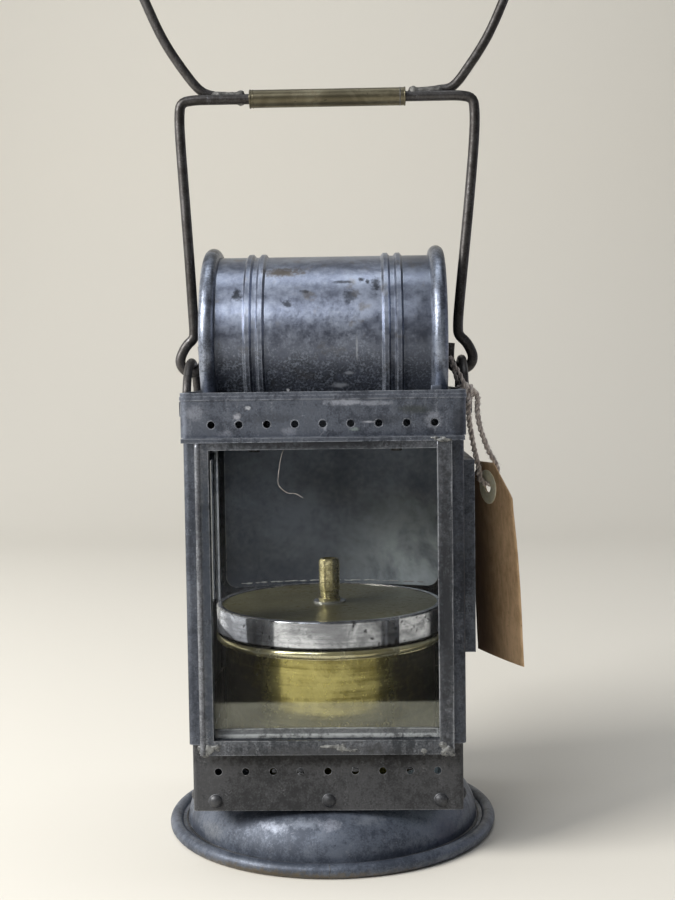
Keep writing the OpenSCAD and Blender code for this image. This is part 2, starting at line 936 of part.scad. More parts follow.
// lump of the twine where it is tied to the front leg of the right ear
module tag_knot() {
    color(twine)
        difference() {
            translate([ear_x + 1.75, -ear_arch - 2, 0])
                disc(5, knot_z0, knot_z0 + 3.2);
            translate([ear_x, -ear_arch + 0.4, 0])
                disc(ear_r + 0.5, knot_z0 - 1, knot_z0 + 5);
            box([seam_out - 10, -2 * ear_arch, knot_z0 - 1], [seam_out + 0.25, 0, knot_z0 + 5]);
        }
}

module tag_string() {
    color(twine)
        bent_wire([for (p = twine_route) p + tag_from], twine_d / 2, 8);
}

// what lies in the plane of the card, with its thickness towards the outside
module in_card(inside, outside) {
    translate(tag_hole)
        rotate([0, -tag_lean, tag_turn])
            rotate([90, 0, 90])
                translate([0, 0, inside])
                    linear_extrude(outside - inside)
                        difference() {
                            children();
                            circle(tag_hole_r, $fn = 32);
                        }
}

module tag_card() {
    top = 10;
    half = tag_w / 2;
    color([0.58, 0.42, 0.24])
        in_card(-tag_t / 2, tag_t / 2)
            polygon([[-half, top - tag_h], [half, top - tag_h], [half, top - tag_cut],
                [half - tag_cut, top], [tag_cut - half, top], [-half, top - tag_cut]]);
}

module tag_patch() {
    color([0.8, 0.75, 0.58])
        in_card(-tag_t / 2 - 0.27, -tag_t / 2 - 0.02)
            circle(7, $fn = 48);
}

base_dish();
rim_wire();
skirt();
skirt_tray();
skirt_rivets();
seat_ring();
pot();
pot_collar();
carbide_basket();
basket_feet();
lid_ring();
lid_plate();
lid_gasket();
gas_bell();
filter_felt();
filter_screen();
nipple();
nipple_washer();
case_wrap();
window_frame();
window_glass();
band_lip();
top_band();
top_seam();
top_plate();
drum_shell();
drum_bead_left();
drum_bead_right();
drum_cap_left();
drum_cap_right();
drum_baffle();
ear_left();
ear_right();
saddle_left();
saddle_right();
heat_shield();
shield_posts();
reflector();
left_glass();
right_glass();
glass_channels();
slide_rails();
shutter_plate();
shutter_tab();
bail_wire();
bow_wire();
grip_sleeve();
bail_solder();
tag_knot();
tag_string();
tag_card();
tag_patch();
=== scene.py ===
"""Looks of the carbide railway lamp: camera, twine and tag, surface finishes, small details and light."""
import math
import random

import bmesh
import bpy
from mathutils import Matrix, Vector, noise


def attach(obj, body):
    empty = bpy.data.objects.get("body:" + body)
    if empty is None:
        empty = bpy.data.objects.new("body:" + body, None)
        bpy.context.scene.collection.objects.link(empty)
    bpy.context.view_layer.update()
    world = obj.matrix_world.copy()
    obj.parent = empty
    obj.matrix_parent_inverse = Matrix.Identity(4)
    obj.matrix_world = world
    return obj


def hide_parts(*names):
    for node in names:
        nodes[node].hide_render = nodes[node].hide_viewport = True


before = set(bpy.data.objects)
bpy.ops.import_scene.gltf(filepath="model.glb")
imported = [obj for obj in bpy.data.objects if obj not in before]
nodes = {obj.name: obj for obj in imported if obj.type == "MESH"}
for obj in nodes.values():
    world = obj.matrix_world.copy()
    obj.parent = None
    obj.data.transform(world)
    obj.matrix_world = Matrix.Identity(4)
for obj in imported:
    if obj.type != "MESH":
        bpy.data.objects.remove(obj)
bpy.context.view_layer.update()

MM = 0.001
scene = bpy.context.scene


# Camera: the photograph's viewpoint, in metres and degrees, for a frame of 675 x 900 pixels.
CAMERA_AT = Vector((0.0168, -0.5372, 0.1884))
CAMERA_YAW = -1.35
CAMERA_PITCH = -3.5
CAMERA_ROLL = -0.8
FRAME_LONG_SIDE = 900
FOCAL_PIXELS = 1298
SENSOR = 36


def make_camera():
    data = bpy.data.cameras.new("photo_camera")
    data.sensor_width = SENSOR
    data.lens = SENSOR * FOCAL_PIXELS / FRAME_LONG_SIDE
    data.clip_start = 0.01
    data.clip_end = 20
    yaw, pitch, roll = (math.radians(a) for a in (CAMERA_YAW, CAMERA_PITCH, CAMERA_ROLL))
    ahead = Vector((math.sin(yaw) * math.cos(pitch), math.cos(yaw) * math.cos(pitch), math.sin(pitch)))
    level = Vector((math.cos(yaw), -math.sin(yaw), 0))
    above = level.cross(ahead)
    right = level * math.cos(roll) + above * math.sin(roll)
    up = above * math.cos(roll) - level * math.sin(roll)
    camera = bpy.data.objects.new("photo_camera", data)
    turn = Matrix((right, up, -ahead)).transposed().to_4x4()
    camera.matrix_world = Matrix.Translation(CAMERA_AT) @ turn
    scene.collection.objects.link(camera)
    scene.camera = camera


UPWARDS = Vector((0, 0, 1))
SIDEWAYS = Vector((1, 0, 0))


# Places and sizes are written in millimetres, as in the CAD source.
def mm(x, y, z):
    return Vector((x, y, z)) * MM


def uneven(*place):
    """Smooth noise from -1 to 1, the same on each run."""
    return noise.noise(Vector(place))


def on_circle(radius, angle, z):
    return mm(radius * math.cos(angle), radius * math.sin(angle), z)


# Mesh builders.
def mesh_piece(name, shape, body, finish):
    """An object from a bmesh, smooth shaded, with the finish of that key."""
    bmesh.ops.recalc_face_normals(shape, faces=shape.faces)
    data = bpy.data.meshes.new(name)
    shape.to_mesh(data)
    shape.free()
    data.shade_smooth()
    data.materials.append(finishes[finish])
    thing = bpy.data.objects.new(name, data)
    scene.collection.objects.link(thing)
    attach(thing, body)
    return thing


def flowing(points, steps=6):
    """Points on a smooth curve through the given ones."""
    ends = [2 * points[0] - points[1], *points, 2 * points[-1] - points[-2]]
    line = []
    for a, b, c, d in zip(ends, ends[1:], ends[2:], ends[3:]):
        for i in range(steps):
            t = i / steps
            line.append(0.5 * (2 * b + (c - a) * t + (2 * a - 5 * b + 4 * c - d) * t * t
                               + (3 * b - a - 3 * c + d) * t ** 3))
    line.append(points[-1].copy())
    return line


def along(points):
    """For each point its place, and two unit vectors across the line that don't twist along it."""
    across = None
    rows = []
    for i, point in enumerate(points):
        ahead = (points[min(i + 1, len(points) - 1)] - points[max(i - 1, 0)]).normalized()
        if across is None:
            across = ahead.orthogonal()
        across = (across - ahead * across.dot(ahead)).normalized()
        rows.append((point, across.copy(), ahead.cross(across)))
    return rows


def around(across, aside, angle):
    return across * math.cos(angle) + aside * math.sin(angle)


def add_skin(shape, rows, closed=False, looped=True):
    """Faces between rows of points. closed joins the last row to the first, looped each row's ends."""
    for one, other in zip(rows, rows[1:] + rows[:1] if closed else rows[1:]):
        for k in range(len(one) if looped else len(one) - 1):
            after = (k + 1) % len(one)
            shape.faces.new((one[k], one[after], other[after], other[k]))


def add_tube(shape, points, radius, sides=8):
    """A tube with closed ends; radius is a number, or a function of the share of the way and the angle."""
    rings = []
    rows = along(points)
    for i, (point, across, aside) in enumerate(rows):
        ring = []
        for k in range(sides):
            angle = math.tau * k / sides
            r = radius(i / (len(rows) - 1), angle) if callable(radius) else radius
            ring.append(shape.verts.new(point + around(across, aside, angle) * r))
        rings.append(ring)
    add_skin(shape, rings)
    shape.faces.new(rings[0][::-1])
    shape.faces.new(rings[-1])


def add_ring(shape, centre, axis, radius, wire, ragged, sides=28, section=6):
    """A closed ring of round wire whose thickness varies by the ragged share."""
    axis = axis.normalized()
    across = axis.orthogonal().normalized()
    aside = axis.cross(across)
    rings = []
    for i in range(sides):
        out = around(across, aside, math.tau * i / sides)
        middle = centre + out * radius
        thick = wire * (1 + ragged * noise.noise(middle * 900))
        rings.append([shape.verts.new(middle + around(out, axis, math.tau * k / section) * thick)
                      for k in range(section)])
    add_skin(shape, rings, closed=True)


def add_lump(shape, centre, size, rough):
    """A rounded, uneven lump."""
    made = bmesh.ops.create_icosphere(shape, subdivisions=3, radius=1)
    for vert in made["verts"]:
        swell = 1 + rough * noise.noise((vert.co + centre * 700) * 1.6)
        vert.co = centre + Vector(vert.co[i] * size[i] * swell for i in range(3))


def thicken(thing, thickness, offset):
    thick = thing.modifiers.new("thickness", "SOLIDIFY")
    thick.thickness = thickness * MM
    thick.offset = offset


def add_block(shape, low, high):
    made = bmesh.ops.create_cube(shape, size=1)
    for vert in made["verts"]:
        vert.co = Vector(low[i] + (vert.co[i] + 0.5) * (high[i] - low[i]) for i in range(3))


# Shader building. A mix node has its colour sockets at these places.
MIX_SHARE, MIX_FIRST, MIX_SECOND = 0, 6, 7
MIX_COLOUR = 2


class Finish:
    """One node material, with short calls for the nodes that the finishes use."""

    def __init__(self, name):
        self.material = bpy.data.materials.new(name)
        self.material.use_nodes = True
        self.tree = self.material.node_tree
        self.tree.nodes.clear()
        self.colour = None
        self.place = self.add("TexCoord").outputs["Object"]
        split = self.add("SeparateXYZ", {"Vector": self.place})
        self.x, self.y, self.z = (split.outputs[axis] for axis in "XYZ")

    def add(self, kind, inputs=None, **settings):
        node = self.tree.nodes.new("ShaderNode" + kind)
        for key, value in settings.items():
            setattr(node, key, value)
        for key, value in (inputs or {}).items():
            self.put(node.inputs[key], value)
        return node

    def put(self, socket, value):
        if isinstance(value, bpy.types.NodeSocket):
            self.tree.links.new(value, socket)
        else:
            socket.default_value = value

    def stretched(self, scale, turn=(0, 0, 0)):
        made = self.add("Mapping", {"Vector": self.place, "Scale": scale, "Rotation": turn})
        return made.outputs["Vector"]

    def noise(self, scale, detail=4, rough=0.6, at=None, distort=0):
        made = self.add("TexNoise", {
            "Vector": at or self.place, "Scale": scale, "Detail": detail,
            "Roughness": rough, "Distortion": distort})
        return made.outputs["Fac"]

    def span(self, value, low, high, to_low=0.0, to_high=1.0):
        limits = {"From Min": low, "From Max": high, "To Min": to_low, "To Max": to_high}
        made = self.add("MapRange", {"Value": value, **limits}, interpolation_type="SMOOTHSTEP")
        return made.outputs["Result"]

    def calc(self, operation, a, b=0.0, clamp=False):
        made = self.add("Math", {0: a, 1: b}, operation=operation, use_clamp=clamp)
        return made.outputs["Value"]

    def times(self, *values):
        total = values[0]
        for value in values[1:]:
            total = self.calc("MULTIPLY", total, value)
        return total

    def pick(self, low, high, *shares):
        """From 0 to 1 where the weighted sum goes from low to high."""
        return self.span(self.total(*shares), low, high)

    def total(self, *shares):
        """Sum of pairs of value and weight."""
        made = None
        for value, weight in shares:
            part = self.times(value, weight)
            made = part if made is None else self.calc("ADD", made, part)
        return made

    def vector(self, operation, *parts, output="Vector"):
        made = self.add("VectorMath", dict(enumerate(parts)), operation=operation)
        return made.outputs[output]

    def paint(self, share, colour):
        """Lays a colour over the finish's own by the share."""
        self.colour = self.blend(share, self.colour, colour)

    def blend(self, share, a, b):
        """The first colour, turning into the second by the share."""
        inputs = {MIX_SHARE: share, MIX_FIRST: rgba(a), MIX_SECOND: rgba(b)}
        return self.add("Mix", inputs, data_type="RGBA").outputs[MIX_COLOUR]

    def near(self, centre, size, ragged=0.5, scale=300):
        """1 around a place in millimetres, 0 beyond the size, with a ragged border."""
        shrunk = self.vector("DIVIDE", self.vector("SUBTRACT", self.place, mm(*centre)), mm(*size))
        far = self.vector("LENGTH", shrunk, output="Value")
        edge = self.times(self.calc("SUBTRACT", self.noise(scale, 4, 0.7), 0.5), ragged * 2)
        return self.span(self.calc("ADD", far, edge), 1.1, 0.3)

    def edges(self, radius, low=0.02, high=0.25):
        """1 where the surface bends sharply within the radius, 0 on flats."""
        bent = self.add("Bevel", {"Radius": radius}, samples=6)
        flat = self.add("NewGeometry")
        alike = self.vector("DOT_PRODUCT", bent.outputs["Normal"], flat.outputs["Normal"], output="Value")
        return self.span(self.calc("SUBTRACT", 1.0, alike), low, high)

    def leaning(self, least, more, reach, top, deep):
        """The normal of an uneven band: tipped upwards on the left, flattened to the front on the right."""
        least = self.calc("ADD", least, self.times(self.calc("SUBTRACT", top, self.z), deep))
        aside = self.calc("POWER", self.calc("DIVIDE", self.calc("ABSOLUTE", self.x), reach), 4)
        left = self.span(self.x, reach * -0.48, reach * -0.6)
        rise = self.times(self.calc("ADD", least, self.times(aside, more)), left)
        front = self.span(self.y, 0, reach * -0.1)
        right = self.times(self.span(self.x, reach * 0.58, reach * 0.61), front)
        normal = self.add("NewGeometry").outputs["Normal"]
        squeeze = self.span(right, 0, 1, 1, 0.08)
        narrow = self.add("CombineXYZ", {"X": squeeze, "Y": 1.0, "Z": 1.0})
        flatter = self.vector("MULTIPLY", normal, narrow.outputs["Vector"])
        push = self.add("CombineXYZ", {"X": self.times(right, -0.06), "Z": rise})
        return self.vector("NORMALIZE", self.vector("ADD", flatter, push.outputs["Vector"]))

    def bump(self, height, distance, over=None):
        made = self.add("Bump", {"Height": height, "Strength": 1.0, "Distance": distance})
        if over:
            self.put(made.inputs["Normal"], over)
        return made.outputs["Normal"]

    def surface(self, colour, rough, metallic=0.0, normal=None, sheen=0.0):
        inputs = {
            "Base Color": rgba(colour), "Roughness": rough, "Metallic": metallic, "Sheen Weight": sheen}
        if normal:
            inputs["Normal"] = normal
        return self.done(self.add("BsdfPrincipled", inputs).outputs["BSDF"])

    def done(self, shader):
        self.add("OutputMaterial", {"Surface": shader})
        return self.material


def rgba(colour):
    if isinstance(colour, bpy.types.NodeSocket):
        return colour
    return (*colour, 1.0)


# Finishes. The lamp is old tinplate: clouded blue grey oxide, dark flecks, rubbed bright edges.
def tin(name, dark, light, bare, fleck_share=0.5, wear=0.9, metal=0.7, rough=(0.32, 0.6), dents=0.5,
        marks=(), streaks=0.35):
    """Old tinplate. marks are (centre, size, colour, share) in millimetres, laid over the rest."""
    f = Finish(name)
    cloud = f.noise(34, 6, 0.65, distort=0.7)
    fleck = f.noise(330, 5, 0.75)
    speck = f.noise(1400, 3, 0.7)
    tone = f.total((cloud, 0.45), (fleck, 0.35), (speck, 0.2))
    f.colour = f.blend(f.span(tone, 0.42, 0.6), dark, light)
    rub = f.noise(70, 5, 0.7, at=f.stretched((5, 5, 0.6)))
    f.paint(f.times(f.span(rub, 0.5, 0.75), f.span(speck, 0.35, 0.65), streaks), bare)
    grime = f.pick(0.5, 0.6, (fleck, 0.6), (cloud, 0.4))
    f.paint(f.times(grime, fleck_share), [c * 0.35 for c in dark])
    worn = f.pick(0.58, 0.68, (f.noise(95, 6, 0.8, distort=1.2), 0.7), (speck, 0.3))
    f.paint(f.times(worn, 0.35), bare)
    rubbed = f.times(f.edges(0.7 * MM), f.pick(0.38, 0.56, (fleck, 0.7), (cloud, 0.3)), wear)
    f.paint(rubbed, bare)
    broken = f.span(f.total((fleck, 0.6), (speck, 0.4)), 0.38, 0.54, 0.55, 1)
    for centre, size, colour, share in marks:
        f.paint(f.times(f.near(centre, size, 0.85, 560), broken, share), colour)
    roughness = f.span(tone, 0.36, 0.68, rough[1], rough[0])
    metallic = f.calc("SUBTRACT", metal, f.times(grime, 0.3), clamp=True)
    waves = f.bump(f.noise(28, 3, 0.5), dents * MM)
    pits = f.bump(f.total((fleck, 0.7), (speck, 0.3)), 0.05 * MM, waves)
    return f.surface(f.colour, roughness, metallic, pits)


DRUM_STAIN = (0.10, 0.075, 0.04)
# Dark colour of the dent marks: painted shade that stands in for small dents the drum's shape doesn't have.
DRUM_DENT_SHADE = (0.028, 0.03, 0.036)
DRUM_SCRATCH = (0.4, 0.42, 0.46)
DRUM_MARKS = [
    ((-16, -21, 227.4), (10, 10, 2.6), DRUM_STAIN, 0.75),
    ((-33.5, -30, 218.6), (2.2, 3, 3.4), DRUM_DENT_SHADE, 0.85),
    ((-14, -31.5, 214.6), (2.6, 3, 1.6), DRUM_DENT_SHADE, 0.8),
    ((8, -26.4, 223), (4.5, 3, 0.9), DRUM_DENT_SHADE, 0.85),
    ((14.8, -25.6, 224), (1.4, 2, 1.2), DRUM_DENT_SHADE, 0.95),
    ((17.5, -26.4, 223), (1.0, 2, 1.4), DRUM_DENT_SHADE, 0.9),
    ((20.5, -27.4, 222), (2.2, 4, 5.4), DRUM_DENT_SHADE, 0.85),
    ((10.5, -30.4, 217.4), (3.4, 3, 3.6), DRUM_DENT_SHADE, 0.7),
    ((12.8, -29.6, 218.6), (2.2, 3, 2.2), (0.16, 0.16, 0.17), 0.7),
    ((-7, -29, 219.4), (2.4, 2, 0.9), DRUM_DENT_SHADE, 0.6),
    ((6, -30, 182.6), (4, 2, 1.4), (0.5, 0.52, 0.56), 0.6),
    ((-14.3, -29, 181), (0.7, 2, 0.9), (0.9, 0.9, 0.92), 0.9),
    ((13, -34.4, 197), (0.5, 2, 6), DRUM_SCRATCH, 0.6),
    ((10, -32.6, 187.4), (2.6, 2, 0.8), DRUM_SCRATCH, 0.6)]


def drum_finish():
    """Rubbed bluish tin above, turning black and speckled towards the plate."""
    f = Finish("drum tin")
    cloud = f.noise(36, 6, 0.66, distort=0.8)
    fleck = f.noise(260, 6, 0.78)
    speck = f.noise(1100, 3, 0.75)
    depth = f.span(f.z, 0.219, 0.184)
    bloom = f.pick(0.56, 1.02, (depth, 0.5), (cloud, 0.36), (fleck, 0.5))
    patchy = f.pick(0.4, 0.62, (fleck, 0.5), (cloud, 0.5))
    silver = f.blend(patchy, (0.17, 0.19, 0.25), (0.33, 0.365, 0.45))
    silver = f.blend(f.span(f.noise(120, 3, 0.6), 0.57, 0.7, 0, 0.4), silver, (0.2, 0.17, 0.12))
    peppered = f.pick(0.47, 0.62, (speck, 0.6), (fleck, 0.4))
    black = f.blend(peppered, (0.014, 0.016, 0.02), (0.17, 0.19, 0.23))
    f.colour = f.blend(bloom, silver, black)
    rubbed = f.times(f.edges(1.2 * MM, 0.01, 0.2), f.span(fleck, 0.3, 0.55), 0.85)
    f.paint(rubbed, (0.5, 0.54, 0.62))
    worn = f.pick(0.57, 0.66, (f.noise(150, 6, 0.8, distort=1.5), 0.7), (speck, 0.3))
    f.paint(f.times(worn, 0.3), (0.45, 0.48, 0.54))
    for centre, size, colour, share in DRUM_MARKS:
        f.paint(f.times(f.near(centre, size, 0.9, 520), share), colour)
    # Painted shade: the drum's right end is darkened, on the unlit side.
    f.paint(f.span(f.x, 0.024, 0.04, 0, 0.45), (0.06, 0.068, 0.085))
    metallic = f.span(bloom, 0, 1, 0.92, 0.35)
    roughness = f.total((f.span(bloom, 0, 1, 0.3, 0.55), 1.0), (f.span(fleck, 0.3, 0.7), 0.12))
    waves = f.bump(f.noise(38, 4, 0.5), 0.7 * MM)
    pits = f.bump(f.total((fleck, 0.7), (speck, 0.3)), 0.07 * MM, waves)
    return f.surface(f.colour, roughness, metallic, pits)


# How the metal leans at the lid's rim, and the height of the seam between band and collar, where a dark
# line of painted shade is laid.
LID_LEAN = {"least": 0.16, "more": 0.36, "reach": 47 * MM, "top": 92 * MM, "deep": 25}
LID_SEAM = 81.7 * MM


def bright_finish(name, low, high, smudge, rough, tint=(0.1, 0.09, 0.07), metal=1.0, grain=0.5,
                  spots=0, lid_rim=False):
    """Plated or polished metal, dulled by fingers and water. spots is the share of its dark spots.

    At the lid's rim the metal leans, and a dark line of painted shade is laid along the seam.
    """
    f = Finish(name)
    cloud = f.noise(55, 5, 0.65, distort=0.9)
    fleck = f.noise(520, 5, 0.75)
    turned = f.noise(40, 3, 0.6, at=f.stretched((0.5, 0.5, 26)))
    f.colour = f.blend(f.pick(0.4, 0.62, (cloud, 1 - grain), (turned, grain)), low, high)
    dull = f.pick(0.5, 0.66, (cloud, 0.55), (fleck, 0.45))
    f.paint(f.times(dull, smudge), tint)
    pitted = f.times(f.span(fleck, 0.62, 0.7), 0.8)
    f.paint(pitted, [c * 0.2 for c in low])
    if spots:
        spotted = f.span(f.total((f.noise(430, 2, 0.5), 0.75), (cloud, 0.25)), 0.595, 0.635, 0, spots)
        f.paint(spotted, (0.02, 0.02, 0.024))
    if lid_rim:
        # Painted shade: a dark line along the seam between band and collar, where the gap lies in shadow.
        seam_shade = f.span(f.calc("ABSOLUTE", f.calc("SUBTRACT", f.z, LID_SEAM)), 1.0 * MM, 0.4 * MM)
        f.paint(seam_shade, (0.008, 0.008, 0.006))
    roughness = f.total((f.span(dull, 0, 1, rough[0], rough[1]), 1.0), (f.span(fleck, 0.4, 0.7), 0.08))
    height = f.total((turned, 0.2), (fleck, 0.3))
    leaning = f.leaning(**LID_LEAN) if lid_rim else None
    waves = f.bump(f.noise(45, 3, 0.5), 0.15 * MM, leaning)
    return f.surface(f.colour, roughness, metal, f.bump(height, 0.02 * MM, waves))


def pot_finish():
    """Yellow brass, polished round the front, with tarnished patches and brown flecks; painted shade
    darkens it towards the sides.
    """
    f = Finish("pot brass")
    cloud = f.noise(60, 5, 0.7, distort=0.8)
    fleck = f.noise(480, 5, 0.75)
    turned = f.noise(45, 3, 0.6, at=f.stretched((0.4, 0.4, 24)))
    spun = f.pick(0.4, 0.62, (cloud, 0.6), (turned, 0.4))
    f.colour = f.blend(spun, (0.24, 0.195, 0.042), (0.58, 0.5, 0.165))
    # Painted shade: the sides are darkened on top of the tarnished patches.
    sides = f.span(f.calc("ABSOLUTE", f.x), 16 * MM, 30 * MM)
    tarnish_and_side_shade = f.pick(0.55, 0.86, (sides, 0.4), (cloud, 0.5), (fleck, 0.35))
    f.paint(f.times(tarnish_and_side_shade, 0.9), (0.05, 0.032, 0.014))
    f.paint(f.span(fleck, 0.64, 0.74, 0, 0.5), (0.2, 0.12, 0.04))
    roughness = f.total((f.span(tarnish_and_side_shade, 0, 1, 0.2, 0.4), 1.0), (f.span(fleck, 0.4, 0.7), 0.1))
    waves = f.bump(f.noise(38, 3, 0.5), 0.2 * MM)
    return f.surface(f.colour, roughness, 0.72, f.bump(turned, 0.008 * MM, waves))


def inner_finish():
    """Smooth dull tin of the lamp's inside, sooted towards the top, with painted light making it pale low
    on the right.
    """
    f = Finish("inner tin")
    cloud = f.noise(26, 5, 0.6, distort=0.5)
    fleck = f.noise(380, 4, 0.7)
    mottled = f.pick(0.36, 0.66, (cloud, 0.7), (fleck, 0.3))
    f.colour = f.blend(mottled, (0.085, 0.096, 0.12), (0.185, 0.207, 0.245))
    # Painted light: low on the right the inside is painted pale, as if lit through the left side window.
    low = f.times(f.span(f.z, 0.14, 0.094), f.span(f.x, -0.006, 0.04))
    f.paint(f.times(low, f.span(cloud, 0.25, 0.55), 0.95), (0.66, 0.72, 0.74))
    f.paint(f.span(f.z, 0.135, 0.16, 0, 0.1), (0.04, 0.043, 0.047))
    rubbed = f.times(f.edges(0.6 * MM), f.span(fleck, 0.35, 0.6))
    f.paint(rubbed, (0.42, 0.44, 0.44))
    waves = f.bump(f.noise(24, 3, 0.5), 0.5 * MM)
    return f.surface(f.colour, f.span(cloud, 0.3, 0.7, 0.6, 0.45), 0.5, waves)


def solder_finish(name, low, high):
    f = Finish(name)
    cloud = f.noise(300, 5, 0.7, distort=0.6)
    speck = f.noise(1500, 3, 0.7)
    f.colour = f.blend(f.pick(0.38, 0.62, (cloud, 0.7), (speck, 0.3)), low, high)
    f.paint(f.span(speck, 0.6, 0.7, 0, 0.7), (0.03, 0.03, 0.03))
    return f.surface(f.colour, f.span(cloud, 0.3, 0.7, 0.65, 0.42), 0.45, f.bump(cloud, 0.2 * MM))


def twine_finish():
    f = Finish("grey twine")
    fibre = f.noise(900, 4, 0.75, at=f.stretched((1, 1, 0.35)))
    f.colour = f.blend(f.span(fibre, 0.34, 0.68), (0.3, 0.25, 0.23), (0.78, 0.71, 0.66))
    return f.surface(f.colour, 0.95, 0.0, f.bump(fibre, 0.12 * MM), sheen=0.3)


def card_finish():
    """Brown kraft card: long pale and dark fibres, a few spots, and painted shade darkening it towards its
    back edge by the lamp.
    """
    f = Finish("kraft card")
    cloud = f.noise(45, 5, 0.65)
    fibre = f.noise(500, 4, 0.7, at=f.stretched((1, 1, 0.3), (0.3, 0, 0)))
    pulp = f.pick(0.36, 0.64, (cloud, 0.55), (fibre, 0.45))
    f.colour = f.blend(pulp, (0.46, 0.29, 0.15), (0.74, 0.5, 0.29))
    f.paint(f.span(f.noise(900, 3, 0.7), 0.62, 0.72, 0, 0.6), (0.16, 0.09, 0.045))
    # Painted shade: the card darkens towards its back edge, next to the lamp.
    lamp_side_shade = f.span(f.total((f.y, 1.0), (cloud, 0.02)), -0.012, 0.008, 0, 0.8)
    f.paint(lamp_side_shade, (0.1, 0.055, 0.035))
    return f.surface(f.colour, 0.85, 0.0, f.bump(fibre, 0.04 * MM))


def patch_finish():
    f = Finish("cream paper")
    fibre = f.noise(600, 4, 0.7)
    f.colour = f.blend(f.span(fibre, 0.35, 0.65), (0.86, 0.8, 0.55), (0.97, 0.93, 0.72))
    return f.surface(f.colour, 0.7, 0.0, f.bump(fibre, 0.03 * MM))


def pane_finish(name, reflection_low=0.0, reflection_high=0.0, reflection_share=0.0):
    """Clear glass with a faint haze, and a pale band between two heights, in millimetres, that is a painted
    reflection.
    """
    f = Finish(name)
    clear = f.add("BsdfTransparent", {"Color": (0.93, 0.94, 0.95, 1)})
    gloss = f.add("BsdfGlossy", {"Color": (0.3, 0.3, 0.3, 1), "Roughness": 0.05})
    fresnel = f.add("Fresnel", {"IOR": 1.45}).outputs["Fac"]
    outer = f.calc("SUBTRACT", 1.0, f.add("NewGeometry").outputs["Backfacing"])
    mirror = f.times(fresnel, outer)
    mixed = f.add("MixShader", {0: mirror, 1: clear.outputs["BSDF"], 2: gloss.outputs["BSDF"]})
    dust_and_reflection = f.add("BsdfDiffuse", {"Color": (0.62, 0.62, 0.5, 1)})
    cloud = f.noise(60, 4, 0.6, at=f.stretched((1, 1, 2)))
    share = f.times(f.span(cloud, 0.4, 0.8), 0.006)
    # Painted reflection: a pale band between two heights stands in for the table in front reflected in the
    # pane.
    if reflection_share:
        over = f.span(f.z, (reflection_low - 0.6) * MM, reflection_low * MM)
        under = f.span(f.z, reflection_high * MM, (reflection_high - 1.5) * MM)
        band = f.times(over, under, f.span(cloud, 0.2, 0.6, 0.6, 1), reflection_share)
        share = f.calc("ADD", share, band)
    dusty_and_reflecting = f.add("MixShader", {0: share, 1: mixed.outputs["Shader"], 2: dust_and_reflection.outputs["BSDF"]})
    return f.done(dusty_and_reflecting.outputs["Shader"])


SLATE_DARK = (0.045, 0.051, 0.066)
SLATE = (0.125, 0.14, 0.175)
SILVER = (0.42, 0.45, 0.51)
SMUDGE = (0.36, 0.38, 0.44)
# This dark colour is painted shade on the right flange, right wall and right end of the band, and grime on
# the middle of the band.
GRIME_AND_SHADE = (0.018, 0.019, 0.022)
BEAD_STAIN = (0.1, 0.075, 0.045)
BAND_FACE = 53.6
FRAME_FACE = 57.5
SKIRT_FACE = 51.6
FOOT_MARKS = [
    # The next four marks are painted highlights: reflections on the front shoulder of the dome.
    ((-22, -54, 15), (8, 7, 2.2), (0.32, 0.35, 0.42), 0.7),
    ((-9, -53, 16.5), (9, 6, 2), (0.27, 0.3, 0.36), 0.65),
    ((1, -54, 16), (5, 5, 2.6), (0.3, 0.32, 0.38), 0.65),
    ((16, -52, 17), (9, 5, 2), (0.2, 0.22, 0.26), 0.6),
    # Painted light on the dome's lit left side.
    ((-48, -38, 8), (10, 8, 5), (0.2, 0.215, 0.24), 0.6),
    # Painted shade on the dome's unlit right side.
    ((45, -38, 8), (12, 8, 5), (0.05, 0.055, 0.09), 0.6),
    ((-22, -60, 0.4), (66, 24, 3.2), (0.11, 0.085, 0.05), 0.9)]
BEAD_MARKS = [
    ((-45.2, 0, 238), (5, 18, 4), BEAD_STAIN, 0.6),
    ((45.2, 0, 238), (5, 18, 4), BEAD_STAIN, 0.6),
    # Painted shade down the outer flank of the right bead, on the unlit side.
    ((47.6, -20, 205), (1.6, 30, 40), (0.035, 0.042, 0.065), 0.7)]
# Case marks: painted shade down the right flange and right wall, on the unlit side.
CASE_MARKS = [
    ((54.5, -53, 108), (5, 7, 80), GRIME_AND_SHADE, 0.75),
    ((56, -39, 117), (4, 6, 50), GRIME_AND_SHADE, 0.75)]


def on_front(face, deep, *marks):
    """Marks on a front face, each given by its x and z, half width and half height, colour and share."""
    return [((x, -face, z), (wide, deep, high), colour, share) for x, z, wide, high, colour, share in marks]


